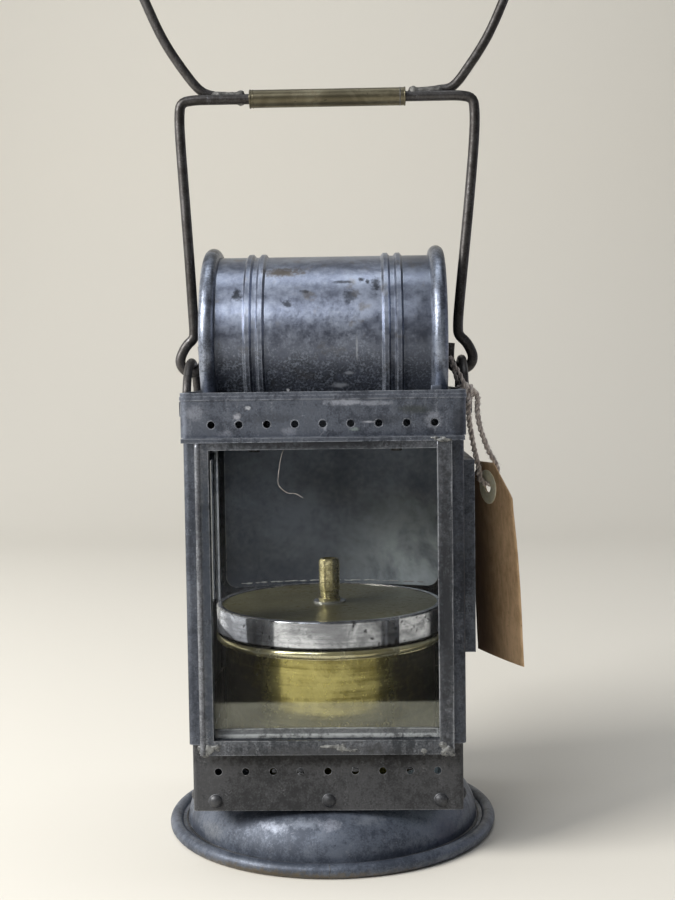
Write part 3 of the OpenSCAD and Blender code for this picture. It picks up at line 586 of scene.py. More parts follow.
BAND_MARKS = on_front(
    BAND_FACE, 3,
    (8.1, 176.6, 9, 1.5, SMUDGE, 0.8),
    (19.6, 176.2, 8, 1.1, SMUDGE, 0.6),
    (-47.7, 173.3, 4.5, 3.2, SMUDGE, 0.5),
    (41.3, 169.6, 4.2, 4, SMUDGE, 0.5),
    (-12.6, 165.8, 3.6, 2, SMUDGE, 0.45),
    (12.3, 166.6, 2.4, 0.9, (0.3, 0.36, 0.34), 0.8),
    (-28, 174.9, 1.5, 0.8, (0.6, 0.62, 0.66), 0.9),
    (0.8, 166.9, 1, 1, SMUDGE, 0.8),
    (17.2, 169.2, 2.6, 0.5, (0.5, 0.52, 0.58), 0.8),
    (34.5, 173.7, 8, 2, (0.04, 0.045, 0.03), 0.55),
    (-32, 171.6, 1.6, 1.6, (0.55, 0.56, 0.62), 0.7),
    (-36, 165.4, 4, 1.6, SMUDGE, 0.35),
    (-20, 171, 12, 3, GRIME_AND_SHADE, 0.35),
    (24, 170, 9, 2.4, GRIME_AND_SHADE, 0.35),
    # Painted shade on the unlit right end of the band.
    (50.5, 168, 3, 9, GRIME_AND_SHADE, 0.55),
    (-51, 167, 2, 6, (0.2, 0.22, 0.27), 0.5))
FRAME_MARKS = on_front(
    FRAME_FACE, 6,
    # Painted shadow of the band along the top rail.
    (-4, 161.6, 46, 3, (0.012, 0.013, 0.016), 0.9),
    # Painted shade down the right stile, which gets less light.
    (45.4, 100, 3.6, 75, (0.02, 0.021, 0.025), 0.8),
    # Painted shade along the inner edge of the left stile, where the case's flange lies in shadow.
    (-43.9, 100, 2.2, 75, (0.03, 0.04, 0.06), 0.75),
    (0, 45.2, 52, 3.4, (0.035, 0.035, 0.036), 0.6))
# Painted shadow of the frame's bottom rail across the top of the skirt.
SKIRT_MARKS = on_front(SKIRT_FACE, 3, (0, 42.8, 62, 5.4, (0.004, 0.004, 0.005), 0.95))
# Heights and share of the painted reflection band on the front pane.
PANE_REFLECTION = (54.2, 64.4, 0.115)


def tin_finishes():
    return {
        "case": tin("case tin", SLATE_DARK, SLATE, SILVER, marks=CASE_MARKS),
        "band": tin(
            "band tin", (0.055, 0.062, 0.08), (0.165, 0.185, 0.23), SILVER,
            fleck_share=0.45, marks=BAND_MARKS),
        "frame": tin(
            "frame tin", (0.045, 0.05, 0.058), (0.17, 0.18, 0.205), (0.45, 0.47, 0.51),
            fleck_share=0.75, streaks=0.6, marks=FRAME_MARKS),
        "roll": tin(
            "rolled edge", (0.09, 0.095, 0.11), (0.3, 0.315, 0.35), (0.62, 0.65, 0.7),
            fleck_share=0.7, rough=(0.28, 0.45), streaks=0.6),
        # Pale matte tin for the line at the reflector's foot, a painted highlight of that edge.
        "pale strip": tin(
            "pale strip", (0.4, 0.4, 0.39), (0.75, 0.75, 0.72), (0.9, 0.9, 0.88),
            fleck_share=0.6, metal=0.15),
        "sill": tin(
            "sill tin", (0.09, 0.09, 0.09), (0.24, 0.24, 0.235), (0.6, 0.6, 0.58),
            fleck_share=0.6, metal=0.15),
        "skirt": tin(
            "skirt tin", (0.032, 0.033, 0.036), (0.085, 0.087, 0.095), (0.28, 0.29, 0.31),
            metal=0.55, streaks=0.2, marks=SKIRT_MARKS),
        "foot": tin(
            "foot tin", (0.052, 0.062, 0.085), (0.14, 0.162, 0.208), (0.36, 0.36, 0.38),
            fleck_share=0.3, metal=0.45, rough=(0.36, 0.55), marks=FOOT_MARKS, streaks=0.1),
        "bead": tin(
            "bead tin", (0.1, 0.112, 0.14), (0.32, 0.36, 0.45), (0.6, 0.64, 0.74),
            fleck_share=0.3, metal=0.8, rough=(0.24, 0.42), dents=0.2, marks=BEAD_MARKS),
        "drum": drum_finish(),
        "wire": tin(
            "dark wire", (0.035, 0.032, 0.03), (0.1, 0.095, 0.095), (0.3, 0.3, 0.33),
            metal=0.8, wear=0.3, rough=(0.32, 0.5), dents=0.1),
        "inner": inner_finish(),
        # The channels are painted pale: bare tin, lightened further as painted light from the side windows.
        "channel": tin(
            "channel tin", (0.2, 0.21, 0.24), (0.45, 0.47, 0.5), (0.7, 0.72, 0.75), fleck_share=0.2),
    }


def bright_finishes():
    return {
        "grip": bright_finish(
            "grip brass", (0.11, 0.096, 0.062), (0.19, 0.17, 0.115), 0.45,
            (0.36, 0.5), (0.09, 0.065, 0.04), metal=0.85, grain=0.1),
        "pot": pot_finish(),
        "plate": bright_finish(
            "lid brass", (0.2, 0.18, 0.095), (0.31, 0.285, 0.165), 0.45,
            (0.3, 0.46), (0.08, 0.065, 0.03), metal=0.6),
        "collar": bright_finish(
            "collar brass", (0.5, 0.43, 0.2), (0.85, 0.78, 0.5), 0.35,
            (0.16, 0.34), (0.14, 0.11, 0.05), metal=0.7, lid_rim=True),
        "nipple": bright_finish(
            "nipple brass", (0.42, 0.36, 0.16), (0.85, 0.76, 0.44), 0.5,
            (0.22, 0.4), (0.09, 0.06, 0.03), metal=0.8, grain=0.3),
        "bright": bright_finish(
            "bright tin", (0.6, 0.6, 0.62), (0.92, 0.92, 0.92), 0.3, (0.12, 0.26), metal=0.75),
        "band metal": bright_finish(
            "lid band tin", (0.3, 0.3, 0.315), (0.85, 0.85, 0.87), 0.45,
            (0.1, 0.24), metal=0.8, grain=0.2, spots=0.85, lid_rim=True),
    }


def other_finishes():
    return {
        "solder": solder_finish("solder", (0.06, 0.062, 0.066), (0.25, 0.255, 0.25)),
        "wiped": solder_finish("wiped solder", (0.06, 0.058, 0.055), (0.2, 0.195, 0.185)),
        "twine": twine_finish(),
        "card": card_finish(),
        "patch": patch_finish(),
        "felt": Finish("felt").surface((0.3, 0.28, 0.24), 0.95),
        "rubber": Finish("gasket").surface((0.02, 0.02, 0.02), 0.8),
        "front pane": pane_finish("front pane", *PANE_REFLECTION),
        "side pane": pane_finish("side pane"),
    }


finishes = {**tin_finishes(), **bright_finishes(), **other_finishes()}
PAINTED = {
    "case": ["case_wrap", "band_lip", "top_plate", "drum_cap_left", "drum_cap_right", "saddle_left",
             "saddle_right", "slide_rails", "shutter_plate"],
    "band": ["top_band", "top_seam"],
    "frame": ["window_frame"],
    "skirt": ["skirt", "skirt_rivets"],
    "foot": ["base_dish"],
    "bead": ["drum_bead_left", "drum_bead_right"],
    "drum": ["drum_shell"],
    "wire": ["rim_wire", "ear_left", "ear_right", "shield_posts", "shutter_tab", "bail_wire"],
    "grip": ["grip_sleeve"],
    "pot": ["pot"],
    "plate": ["lid_plate"],
    "collar": ["pot_collar"],
    "band metal": ["lid_ring"],
    "nipple": ["nipple"],
    "bright": ["nipple_washer", "carbide_basket", "basket_feet", "gas_bell", "filter_screen"],
    "inner": ["skirt_tray", "seat_ring", "drum_baffle", "heat_shield", "reflector"],
    "channel": ["glass_channels"],
    "felt": ["filter_felt"],
    "rubber": ["lid_gasket"],
    "front pane": ["window_glass"],
    "side pane": ["left_glass", "right_glass"],
}


SHARP_BEND = math.radians(32)
WELD_WITHIN = 0.002 * MM


def finish_nodes():
    for key, names in PAINTED.items():
        for name in names:
            data = nodes[name].data
            data.materials.clear()
            data.materials.append(finishes[key])
    soften(nodes["bail_wire"])


def soften(thing):
    """Welds the facets of a carried mesh and shades it smooth across slight bends, as a modifier."""
    tree = bpy.data.node_groups.new("soft shading", "GeometryNodeTree")
    tree.interface.new_socket("Geometry", in_out="INPUT", socket_type="NodeSocketGeometry")
    tree.interface.new_socket("Geometry", in_out="OUTPUT", socket_type="NodeSocketGeometry")
    start = tree.nodes.new("NodeGroupInput")
    end = tree.nodes.new("NodeGroupOutput")
    weld = tree.nodes.new("GeometryNodeMergeByDistance")
    weld.inputs["Distance"].default_value = WELD_WITHIN
    angle = tree.nodes.new("GeometryNodeInputMeshEdgeAngle")
    over = tree.nodes.new("FunctionNodeCompare")
    over.inputs[1].default_value = SHARP_BEND
    shade = tree.nodes.new("GeometryNodeSetMeshNormal")
    tree.links.new(start.outputs[0], weld.inputs["Geometry"])
    tree.links.new(weld.outputs["Geometry"], shade.inputs["Mesh"])
    tree.links.new(angle.outputs["Unsigned Angle"], over.inputs[0])
    tree.links.new(over.outputs[0], shade.inputs["Edge Sharpness"])
    tree.links.new(shade.outputs["Mesh"], end.inputs[0])
    thing.modifiers.new("soft shading", "NODES").node_group = tree


# Twine of the tag: the route of the CAD source, from the rail's outer face and the top plate.
TWINE_FROM = mm(57.2, 0, 179.4)
TWINE_ROUTE = [
    (0, -23.5, -2.32), (-0.5, -23.5, -5.4), (-0.5, -23.5, -9.4), (0.5, -22.5, -16.4),
    (2.4, -19.8, -25.4), (3.8, -18, -31), (4.1, -17.8, -33.3), (4.6, -17.6, -35.3),
    (6, -17, -36.8), (7.8, -16.2, -37.3), (9.6, -15.4, -36.8), (11, -14.8, -35.3),
    (11.5, -14.6, -33.3), (10.9, -15, -29.4), (7.2, -17, -22.4), (4.4, -19, -14.4),
    (3.3, -19.4, -7.9), (3.4, -19.1, -4.9), (3.5, -19, -2.32)]
PLIES = 2
PLY_TURN = 5.2 * MM
PLY_RADIUS = 0.66 * MM
PLY_SPREAD = 0.86
FUZZ_RADIUS = 0.045 * MM
# Loose fibres: how many, how far they stand off, and the seed.
TWINE_FUZZ = (420, 1.7 * MM, 4)
LOOP_FUZZ = (46, 1.6 * MM, 9)
LUMP_FUZZ = (30, 1.5 * MM, 11)


def add_plies(shape, line, thick=PLY_RADIUS):
    """Twisted plies round a line."""
    rows = along(line)
    walked = [0.0]
    for one, other in zip(line, line[1:]):
        walked.append(walked[-1] + (other - one).length)
    for ply in range(PLIES):
        points = []
        for (point, across, aside), way in zip(rows, walked):
            angle = math.tau * (way / PLY_TURN + ply / PLIES)
            points.append(point + around(across, aside, angle) * thick * PLY_SPREAD)

        def spun(share, angle, ply=ply):
            return thick * (1 + 0.16 * uneven(share * 90, ply * 5, angle))

        add_tube(shape, points, spun, 7)


def add_fuzz(shape, line, count, reach, seed):
    """Short loose fibres that stand off a twine."""
    draw = random.Random(seed)
    rows = along(line)
    for _ in range(count):
        point, across, aside = rows[draw.randrange(1, len(rows) - 1)]
        ahead = aside.cross(across)
        angle = draw.uniform(0, math.tau)
        out = around(across, aside, angle)
        lean = ahead * draw.uniform(-1, 1)
        long = reach * draw.uniform(0.4, 1)
        start = point + out * PLY_RADIUS
        bend = start + (out * 0.5 + lean) * long * 0.5
        end = bend + (out + lean * draw.uniform(-0.4, 1)) * long * 0.5
        add_tube(shape, [start, bend, end], FUZZ_RADIUS, 3)


def make_twine():
    line = flowing([TWINE_FROM + mm(*point) for point in TWINE_ROUTE], 8)
    shape = bmesh.new()
    add_plies(shape, line)
    string = mesh_piece("twine", shape, "housing", "twine")
    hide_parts("tag_string")
    shape = bmesh.new()
    add_fuzz(shape, line, *TWINE_FUZZ)
    fuzz = mesh_piece("twine_fuzz", shape, "housing", "twine")
    make_card()
    patch = make_patch()


# The card hangs in the plane of its CAD solid and curls a little across it.
CARD_HOLE = TWINE_FROM + mm(7.8, -16.2, -38.4)
CARD_WIDTH = 37.6
CARD_HEIGHT = 80
CARD_TOP = 10
CARD_CUT = 13
CARD_TURN = 23.2
CARD_LEAN = 3.8
CARD_THICK = 0.45
CARD_CURL = 0.0016
CARD_WAVE = 0.25
CARD_COLUMNS = 24
CARD_ROWS = 48
HOLE_RADIUS = 2.4
HOLE_SNAP = 0.75
PATCH_SIDES = 48
# The washer's radius and its height over the middle of the card, from the hole outwards.
PATCH_PROFILE = [(2.4, 0.24), (2.4, 0.42), (2.8, 0.5), (4.2, 0.46), (6.6, 0.46), (6.9, 0.38), (6.9, 0.24)]


def on_card(across, up, out=0.0):
    """A point of the card, given from its hole in millimetres."""
    curl = CARD_CURL * across * across * min(1.0, abs(up) / 20)
    wave = CARD_WAVE * math.sin((up + 20) / 11)
    local = mm(out + (curl - wave) * min(1.0, abs(up) / 12), across, up)
    lean = Matrix.Rotation(math.radians(-CARD_LEAN), 3, "Y")
    turn = Matrix.Rotation(math.radians(CARD_TURN), 3, "Z")
    return CARD_HOLE + turn @ lean @ local


def card_rows():
    """Rows of points across the card, from its cut top down, with frayed sides."""
    for j in range(CARD_ROWS + 1):
        up = CARD_TOP - CARD_HEIGHT * j / CARD_ROWS
        half = CARD_WIDTH / 2 - max(0.0, CARD_CUT - (CARD_TOP - up))
        for i in range(CARD_COLUMNS + 1):
            across = half * (2 * i / CARD_COLUMNS - 1)
            fray = 0.12 * uneven(across, up, 3) if i in (0, CARD_COLUMNS) else 0
            yield i, j, across + fray, up


def make_card():
    shape = bmesh.new()
    verts = {}
    for i, j, across, up in card_rows():
        far = math.hypot(across, up)
        if far < HOLE_RADIUS - HOLE_SNAP:
            continue
        if far < HOLE_RADIUS + HOLE_SNAP:
            across, up = across * HOLE_RADIUS / far, up * HOLE_RADIUS / far
        verts[i, j] = shape.verts.new(on_card(across, up))
    for j in range(CARD_ROWS):
        for i in range(CARD_COLUMNS):
            corners = [verts.get(key) for key in ((i, j), (i + 1, j), (i + 1, j + 1), (i, j + 1))]
            corners = [vert for vert in corners if vert]
            if len(corners) > 2:
                shape.faces.new(corners)
    card = mesh_piece("kraft_card", shape, "housing", "card")
    thicken(card, CARD_THICK, 0)
    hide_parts("tag_card")


def make_patch():
    """Round paper washer round the hole, on the side towards the lamp."""
    shape = bmesh.new()
    rings = []
    for radius, lift in PATCH_PROFILE:
        ring = []
        for k in range(PATCH_SIDES):
            angle = math.tau * k / PATCH_SIDES
            ring.append(shape.verts.new(on_card(radius * math.cos(angle), radius * math.sin(angle), -lift)))
        rings.append(ring)
    add_skin(shape, rings, closed=True)
    patch = mesh_piece("card_washer", shape, "housing", "patch")
    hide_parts("tag_patch")
    return patch


# The knot is tied round the front leg of the right ear. Its wraps are given by level and radius.
EAR_LEG = mm(55.75, -17.5, 178.7)
KNOT_WRAPS = [(-0.6, 2.75), (0.9, 2.7), (2.3, 2.6)]
WRAP_RISE = 0.45
WRAP_STEPS = 14
WRAP_PLY = 0.5 * MM
LUMP_PLY = 0.55 * MM
LOOP_PLY = 0.52 * MM
KNOT_LUMP = [
    (57.4, -21.6, 177), (58.2, -22.6, 179.4), (57, -22.8, 181.6), (55, -21.4, 182.4),
    (54.2, -20.6, 180.4), (55.6, -21.6, 178), (58, -21.6, 176.6)]
KNOT_LOOP = [
    (57.2, -22.8, 177), (55.6, -22.4, 181.4), (53.2, -21.4, 187), (51, -19.8, 190.8),
    (50.2, -17.2, 192.8), (50.4, -13.6, 192), (51.8, -11.8, 188), (53.2, -13, 183.4),
    (56, -14.6, 180.2), (58.4, -17, 178.6), (58.6, -20, 177.4)]
KNOT_END = [(60.4, -19, 176.4), (60.2, -19.4, 178.6), (58.6, -20.6, 180), (56.4, -21.4, 179.8)]


def route(points):
    return flowing([mm(*point) for point in points])


def make_knot():
    """Wraps of twine round the ear's leg, a lump in front, the loop up behind the bead, and the end."""
    shape = bmesh.new()
    for level, radius in KNOT_WRAPS:
        turn = []
        for k in range(WRAP_STEPS + 1):
            height = level + WRAP_RISE * k / WRAP_STEPS
            turn.append(EAR_LEG + on_circle(radius, math.tau * k / WRAP_STEPS, height))
        add_plies(shape, turn, WRAP_PLY)
    lump = route(KNOT_LUMP)
    add_plies(shape, lump, LUMP_PLY)
    loop = route(KNOT_LOOP)
    add_plies(shape, loop, LOOP_PLY)
    add_plies(shape, route(KNOT_END), LUMP_PLY)
    add_fuzz(shape, loop, *LOOP_FUZZ)
    add_fuzz(shape, lump, *LUMP_FUZZ)
    knot = mesh_piece("twine_knot", shape, "housing", "twine")
    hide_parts("tag_knot")


# Bail: the bow's wire lies behind the crossbar, and solder joins the two beside the grip.
BAR_Z = 299.6
BAIL_SHIFT = 1.6
BOW_RADIUS = 1.95
BOW_LIFT = 0.9
BOW_LIFT_TO = 50
BOW_SIDE = [
    (34.2, 3.9, 1.5), (40, 3.9, 1.6), (46, 3.8, 2.2), (52, 3.2, 4.6), (58.5, 2, 12.4), (66, 1.2, 24),
    (72.5, 0.3, 38), (78.8, 0, 54.4), (82, 0, 72.4), (80, 0, 88.4), (70, 0, 99.6), (48, 0, 107.6)]
GROOVE_START = 33.4
GROOVE_LENGTH = 14.4
GROOVE_BEHIND = 1.7
GROOVE_ABOVE = 0.75
SOLDER_RADIUS = 2.35
SOLDER_STEPS = 24
GRIP_RIMS = [(-29.5, 3.55, 0.32), (-28.3, 3.58, 0.2), (33.5, 3.5, 0.3)]
GRIP_SLIT = (31.6, 3.57, 0.16)


def bow_half(side, lift):
    """Half of the bow, from the grip up; the lift raises it beside the grip and at the top."""
    return [mm(BAIL_SHIFT + side * x, y, BAR_Z + z + (lift if x < BOW_LIFT_TO else 0))
            for x, y, z in BOW_SIDE]


def make_bow():
    """The wire bow over the bail, uneven as bent by hand."""
    left, right = bow_half(-1, 0), bow_half(1, BOW_LIFT)

    def drawn(share, angle):
        return BOW_RADIUS * MM * (1 + 0.02 * uneven(share * 160, math.cos(angle), math.sin(angle)))

    shape = bmesh.new()
    add_tube(shape, flowing(left + right[::-1], 8), drawn, 16)
    bow = mesh_piece("wire_bow", shape, "bail", "wire")
    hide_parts("bow_wire")


def make_bail_solder():
    """Wiped solder that fills the groove between the two wires, thicker next to the grip."""
    shape = bmesh.new()
    for side, lift in ((-1, 0.0), (1, 0.5)):
        line = []
        for k in range(SOLDER_STEPS + 1):
            share = k / SOLDER_STEPS
            x = BAIL_SHIFT + side * (GROOVE_START + GROOVE_LENGTH * share)
            line.append(mm(x, GROOVE_BEHIND + 0.3 * share, BAR_Z + GROOVE_ABOVE + lift + 0.5 * share))

        def wipe(share, angle, side=side):
            swell = math.exp(-((share - 0.13) / 0.1) ** 2) + 0.35 * math.exp(-((share - 0.72) / 0.1) ** 2)
            taper = min(1.0, share / 0.03 + 0.55, (1 - share) / 0.12 + 0.2)
            rough = uneven(share * 9, math.cos(angle) * 1.2 + side * 4, math.sin(angle) * 1.2)
            return (SOLDER_RADIUS + 0.75 * swell + 0.3 * rough) * taper * MM

        add_tube(shape, line, wipe, 20)
    solder = mesh_piece("wiped_solder", shape, "bail", "wiped")
    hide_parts("bail_solder")


def make_grip_ends():
    """Turned rims of the grip, and a dark ring of painted shade in the open slit near its right end, each
    by x, radius and wire.
    """
    shape = bmesh.new()
    for x, radius, wire in GRIP_RIMS:
        add_ring(shape, mm(x, 0, BAR_Z), SIDEWAYS, radius * MM, wire * MM, 0.4, 40, 8)
    mesh_piece("grip_rims", shape, "grip", "grip")
    shape = bmesh.new()
    # A dark ring stands in for the shade inside the open slit, as painted shade.
    x, radius, wire = GRIP_SLIT
    add_ring(shape, mm(x, 0, BAR_Z), SIDEWAYS, radius * MM, wire * MM, 0.6, 40, 6)
    mesh_piece("grip_slit", shape, "grip", "skirt")


# Small details of the sheet metal. Solder: x, z, how far behind the frame's front, and half sizes.
FRAME_FRONT = -57.7
FRAME_SOLDER = [
    (-45.4, 46.3, 0.4, (2.7, 0.75, 2.3)),
    (-42.4, 47.4, 0.3, (2.4, 0.6, 1.5)),
    (45.3, 46.0, 0.4, (2.6, 0.8, 2.3)),
    (43.4, 48.2, 0.2, (1.5, 0.6, 1.2)),
    (1.5, 47.4, 0.2, (4.4, 0.45, 0.8)),
    (5.4, 47, 0.2, (1.7, 0.55, 1.7)),
    (8.8, 46.2, 0.2, (3.4, 0.4, 0.8)),
    (44.6, 162.6, 0, (3.0, 0.7, 0.9)),
    (41.8, 163.1, 0, (1.4, 0.6, 0.7)),
    (36.5, 45.6, 0.2, (1.2, 0.35, 1.3))]


def make_frame_solder():
    """Old solder at the corners and the middle of the window frame."""
    shape = bmesh.new()
    for x, z, behind, size in FRAME_SOLDER:
        add_lump(shape, mm(x, FRAME_FRONT + behind, z), Vector(size) * MM, 0.7)
    mesh_piece("frame_solder", shape, "housing", "solder")


# Punched holes of the band and the skirt. Dirt: number of the hole, place in it and half sizes.
HOLE_PITCH = 10.45
HOLE_COUNT = 9
BAND_HOLE_Z = 168.7
SKIRT_HOLE_Z = 36.2
BURR_RADIUS = 1.7
BURR_WIRE = [0.04, 0.07, 0.04, 0.05, 0.06, 0.04, 0.07, 0.06, 0.11]
HOLE_DIRT = [
    (2, (0.5, 0.1, 0.3), (0.9, 0.5, 0.9)),
    (3, (-0.1, 0.1, 0.55), (1.4, 0.5, 0.9)),
    (5, (0, 0.1, 0.6), (1.4, 0.5, 0.9)),
    (3, (0.2, 0.1, -0.9), (1.2, 0.5, 0.5)),
    (7, (-0.3, 0.1, 1), (1, 0.5, 0.5))]


def hole_x(i):
    return (i - (HOLE_COUNT - 1) / 2) * HOLE_PITCH


def make_hole_burrs():
    """Raised lips round the punched holes of the band, rubbed bright."""
    shape = bmesh.new()
    for quarter in range(4):
        turn = Matrix.Rotation(quarter * math.pi / 2, 3, "Z")
        out = turn @ Vector((0, 1, 0))
        for i in range(HOLE_COUNT):
            wire = BURR_WIRE[(i + 2 * quarter) % HOLE_COUNT] * MM
            centre = turn @ mm(hole_x(i), -BAND_FACE, BAND_HOLE_Z)
            add_ring(shape, centre, out, BURR_RADIUS * MM, wire, 1.3)
    mesh_piece("hole_burrs", shape, "housing", "frame")


def make_hole_dirt():
    """Caked grime that half fills some of the skirt's holes."""
    shape = bmesh.new()
    for i, off, size in HOLE_DIRT:
        place = Vector((hole_x(i), -SKIRT_FACE, SKIRT_HOLE_Z)) + Vector(off)
        add_lump(shape, place * MM, Vector(size) * MM, 0.5)
    mesh_piece("hole_dirt", shape, "base", "skirt")


# The sill's strip by its half width and the y and z of its lower and upper edge.
SILL_HALF = 44
SILL_LOW = (-53.9, 49.82)
SILL_HIGH = (-51.9, 52.5)
SILL_BOW = 0.5
SILL_STEPS = 32
SILL_THICK = 0.12


def make_sill_strip():
    """Thin strip behind the pane, from the sill up in front of the skirt, with a bowed upper edge."""
    shape = bmesh.new()
    rows = []
    for k in range(SILL_STEPS + 1):
        share = 2 * k / SILL_STEPS - 1
        x = SILL_HALF * share
        bow = SILL_BOW * (1 - share * share) + 0.1 * uneven(x / 7, 0, 0)
        low, high = mm(x, *SILL_LOW), mm(x, *SILL_HIGH) + mm(0, 0, bow)
        middle = low.lerp(high, 0.5) + mm(0, 0.1, -0.1)
        rows.append([shape.verts.new(point) for point in (low, middle, high, high + mm(0, 0.14, 0.14))])
    add_skin(shape, rows, looped=False)
    strip = mesh_piece("sill_strip", shape, "housing", "sill")
    thicken(strip, SILL_THICK, -1)


# Upright edges of the frame: x, y, radius, lower and upper end.
FRAME_ROLLS = [
    (-46.75, -57.2, 1.1, 44.6, 162.2),
    (42.5, -57.65, 0.26, 49.8, 162.4),
    (47.5, -57.3, 0.4, 44.4, 162.4)]
ROLL_STEPS = 60


def make_frame_rolls():
    """The folded outer edge of the left stile and the thin turned lips of the right one."""
    shape = bmesh.new()
    for x, y, radius, low, high in FRAME_ROLLS:
        line = []
        for k in range(ROLL_STEPS + 1):
            z = low + (high - low) * k / ROLL_STEPS
            aside = 0.12 * uneven(z / 17, x, 0)
            ahead = 0.1 * uneven(z / 13, x, 9)
            line.append(mm(x + aside, y + ahead, z))
        add_tube(shape, line, radius * MM, 14)
    mesh_piece("frame_rolls", shape, "housing", "roll")


REFLECTOR_BACK = 49.8
REFLECTOR_RADIUS = 110
REFLECTOR_HALF = 41
REFLECTOR_FOOT = 93.2
REFLECTOR_STEPS = 160


def make_reflector_edge():
    """Bright line along the foot of the reflector, uneven in thickness; its pale colour is a painted
    highlight of the edge.
    """
    shape = bmesh.new()
    line = []
    for k in range(REFLECTOR_STEPS + 1):
        x = REFLECTOR_HALF * (2 * k / REFLECTOR_STEPS - 1)
        sag = REFLECTOR_RADIUS - math.sqrt(REFLECTOR_RADIUS ** 2 - x * x)
        height = REFLECTOR_FOOT + 0.35 * uneven(x / 5, 0, 0)
        line.append(mm(x, REFLECTOR_BACK - sag, height))

    def chipped(share, angle):
        return (0.42 + 0.3 * uneven(share * 37, 2, 0)) * MM

    add_tube(shape, line, chipped, 6)
    mesh_piece("reflector_edge", shape, "housing", "pale strip")


# The dome's edge: radius, height and thickness. The rolled rim's middle: radius and height.
DOME_EDGE = (60.9, 3.45, 0.42)
RIM_MIDDLE = (65.1, 2.58)
RIM_ROLL = 2.5
SEAM_DEGREES = range(-35, 136, 17)
SEAM_RADIUS = 0.3


def make_foot_details():
    """Swaged line where the dome meets the ledge, and the seam of the rolled rim."""
    shape = bmesh.new()
    radius, height, wire = DOME_EDGE
    add_ring(shape, mm(0, 0, height), UPWARDS, radius * MM, wire * MM, 0.15, 160, 8)
    radius, height = RIM_MIDDLE
    seam = []
    for degrees in SEAM_DEGREES:
        angle = math.radians(degrees)
        out, up = RIM_ROLL * math.cos(angle), RIM_ROLL * math.sin(angle)
        seam.append(mm(0.6 + 0.25 * math.sin(3 * angle), -radius - out, height + up))
    add_tube(shape, seam, SEAM_RADIUS * MM, 6)
    mesh_piece("foot_lines", shape, "base", "skirt")


TAB_LOW = (41.4, -34.6, 179.4)
TAB_HIGH = (45.6, -31.6, 182.3)
TAB_ROUNDING = 0.4


def make_bead_tab():
    """Folded tab under the right end bead."""
    shape = bmesh.new()
    add_block(shape, mm(*TAB_LOW), mm(*TAB_HIGH))
    tab = mesh_piece("bead_tab", shape, "housing", "band")
    round_off = tab.modifiers.new("round edges", "BEVEL")
    round_off.width = TAB_ROUNDING * MM
    round_off.segments = 3


# Threads of the nipple: radius, first height and turns. Its rim: radius, height and wire.
THREADS = [(3.85, 93.4, 3), (4.22, 105.2, 3.5)]
THREAD_PITCH = 0.95
THREAD_STEPS = 24
NIPPLE_RIM = (3.3, 109.9, 0.55)


def make_nipple_threads():
    """Shallow threads at both ends of the nipple and its worn, open rim."""
    shape = bmesh.new()
    for radius, start, turns in THREADS:
        line = []
        for k in range(int(turns * THREAD_STEPS) + 1):
            height = start + THREAD_PITCH * k / THREAD_STEPS
            line.append(on_circle(radius, math.tau * k / THREAD_STEPS, height))
        add_tube(shape, line, 0.27 * MM, 5)
    radius, height, wire = NIPPLE_RIM
    add_ring(shape, mm(0, 0, height), UPWARDS, radius * MM, wire * MM, 0.5, 40, 8)
    mesh_piece("nipple_threads", shape, "lid", "nipple")


# A hair of twine: its x and z down the pane, and its place before the pane.
FIBRE = [
    (-13.3, 161.6), (-15.4, 157.4), (-16.6, 151), (-16.7, 146.2), (-13.6, 143.2), (-10.4, 142.8),
    (-7.7, 141.2)]
FIBRE_Y = -55.5


def make_fibre():
    """A loose hair of twine caught on the pane."""
    shape = bmesh.new()
    add_tube(shape, route([(x, FIBRE_Y, z) for x, z in FIBRE]), 0.07 * MM, 5)
    mesh_piece("pane_fibre", shape, "housing", "twine")


# Stage and light.
BACKDROP = (0.715, 0.683, 0.618)
STAGE_HALF = 2.2
STAGE_NEAR = -1.6
STAGE_FAR = 0.9
STAGE_TOP = 2.2
SWEEP_RADIUS = 0.5
SWEEP_STEPS = 12
ROOM_COLOUR = (0.85, 0.88, 0.95, 1)
ROOM_STRENGTH = 0.08


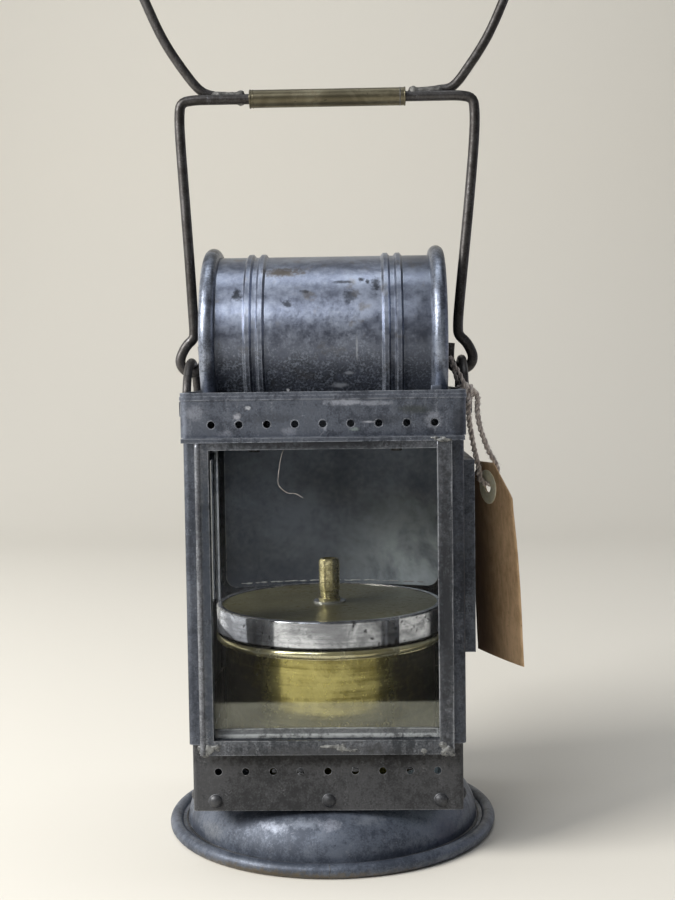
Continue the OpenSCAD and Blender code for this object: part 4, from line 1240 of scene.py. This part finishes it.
def make_stage():
    """Pale floor that sweeps up into a backdrop, in metres."""
    outline = [(STAGE_NEAR, 0)]
    for step in range(SWEEP_STEPS + 1):
        angle = math.radians(90 * step / SWEEP_STEPS)
        outline.append((STAGE_FAR + SWEEP_RADIUS * math.sin(angle), SWEEP_RADIUS * (1 - math.cos(angle))))
    outline.append((STAGE_FAR + SWEEP_RADIUS, STAGE_TOP))
    mesh = bpy.data.meshes.new("stage")
    points = [(x, y, z) for y, z in outline for x in (-STAGE_HALF, STAGE_HALF)]
    faces = [(2 * i, 2 * i + 1, 2 * i + 3, 2 * i + 2) for i in range(len(outline) - 1)]
    mesh.from_pydata(points, [], faces)
    mesh.shade_smooth()
    floor = bpy.data.objects.new("stage", mesh)
    scene.collection.objects.link(floor)
    floor.data.materials.append(Finish("pale paper").surface(BACKDROP, 0.85))


def area_light(name, at, towards, size, power, colour=(1, 1, 1)):
    data = bpy.data.lights.new(name, "AREA")
    data.shape = "RECTANGLE"
    data.size, data.size_y = size
    data.energy = power
    data.color = colour
    lamp = bpy.data.objects.new(name, data)
    lamp.location = at
    lamp.rotation_mode = "QUATERNION"
    lamp.rotation_quaternion = (Vector(towards) - Vector(at)).to_track_quat("-Z", "Y")
    scene.collection.objects.link(lamp)


def make_light():
    area_light("key", (-1.0, -0.6, 0.8), (0.05, 0.05, 0.1), (0.7, 0.7), 25, (1, 0.985, 0.95))
    area_light("front", (-0.4, -0.95, 1.1), (0, 0, 0.15), (0.5, 0.35), 4.5, (0.93, 0.96, 1))
    area_light("left panel", (-1.0, 0.3, 0.36), (0, 0, 0.12), (1.4, 0.7), 3, (1, 0.99, 0.97))
    area_light("right panel", (1.0, 0.3, 0.36), (0, 0, 0.12), (1.4, 0.7), 1.5, (0.86, 0.88, 1))
    area_light("overhead", (-0.25, -0.1, 1.5), (0, 0, 0.2), (1.0, 0.8), 1.2, (0.93, 0.96, 1))
    area_light("backdrop", (0, 0.1, 1.9), (0, 1.2, 0.5), (1.6, 0.4), 9.5, (0.93, 0.97, 1))
    world = bpy.data.worlds.new("room")
    world.use_nodes = True
    air = world.node_tree.nodes["Background"]
    air.inputs["Color"].default_value = ROOM_COLOUR
    air.inputs["Strength"].default_value = ROOM_STRENGTH
    scene.world = world
    scene.view_settings.view_transform = "Standard"


make_camera()
for make in (make_twine, make_knot, finish_nodes, make_bow, make_bail_solder, make_grip_ends,
             make_frame_solder, make_hole_burrs, make_hole_dirt, make_sill_strip, make_frame_rolls,
             make_reflector_edge, make_foot_details, make_bead_tab, make_nipple_threads, make_fibre):
    make()
make_stage()
make_light()
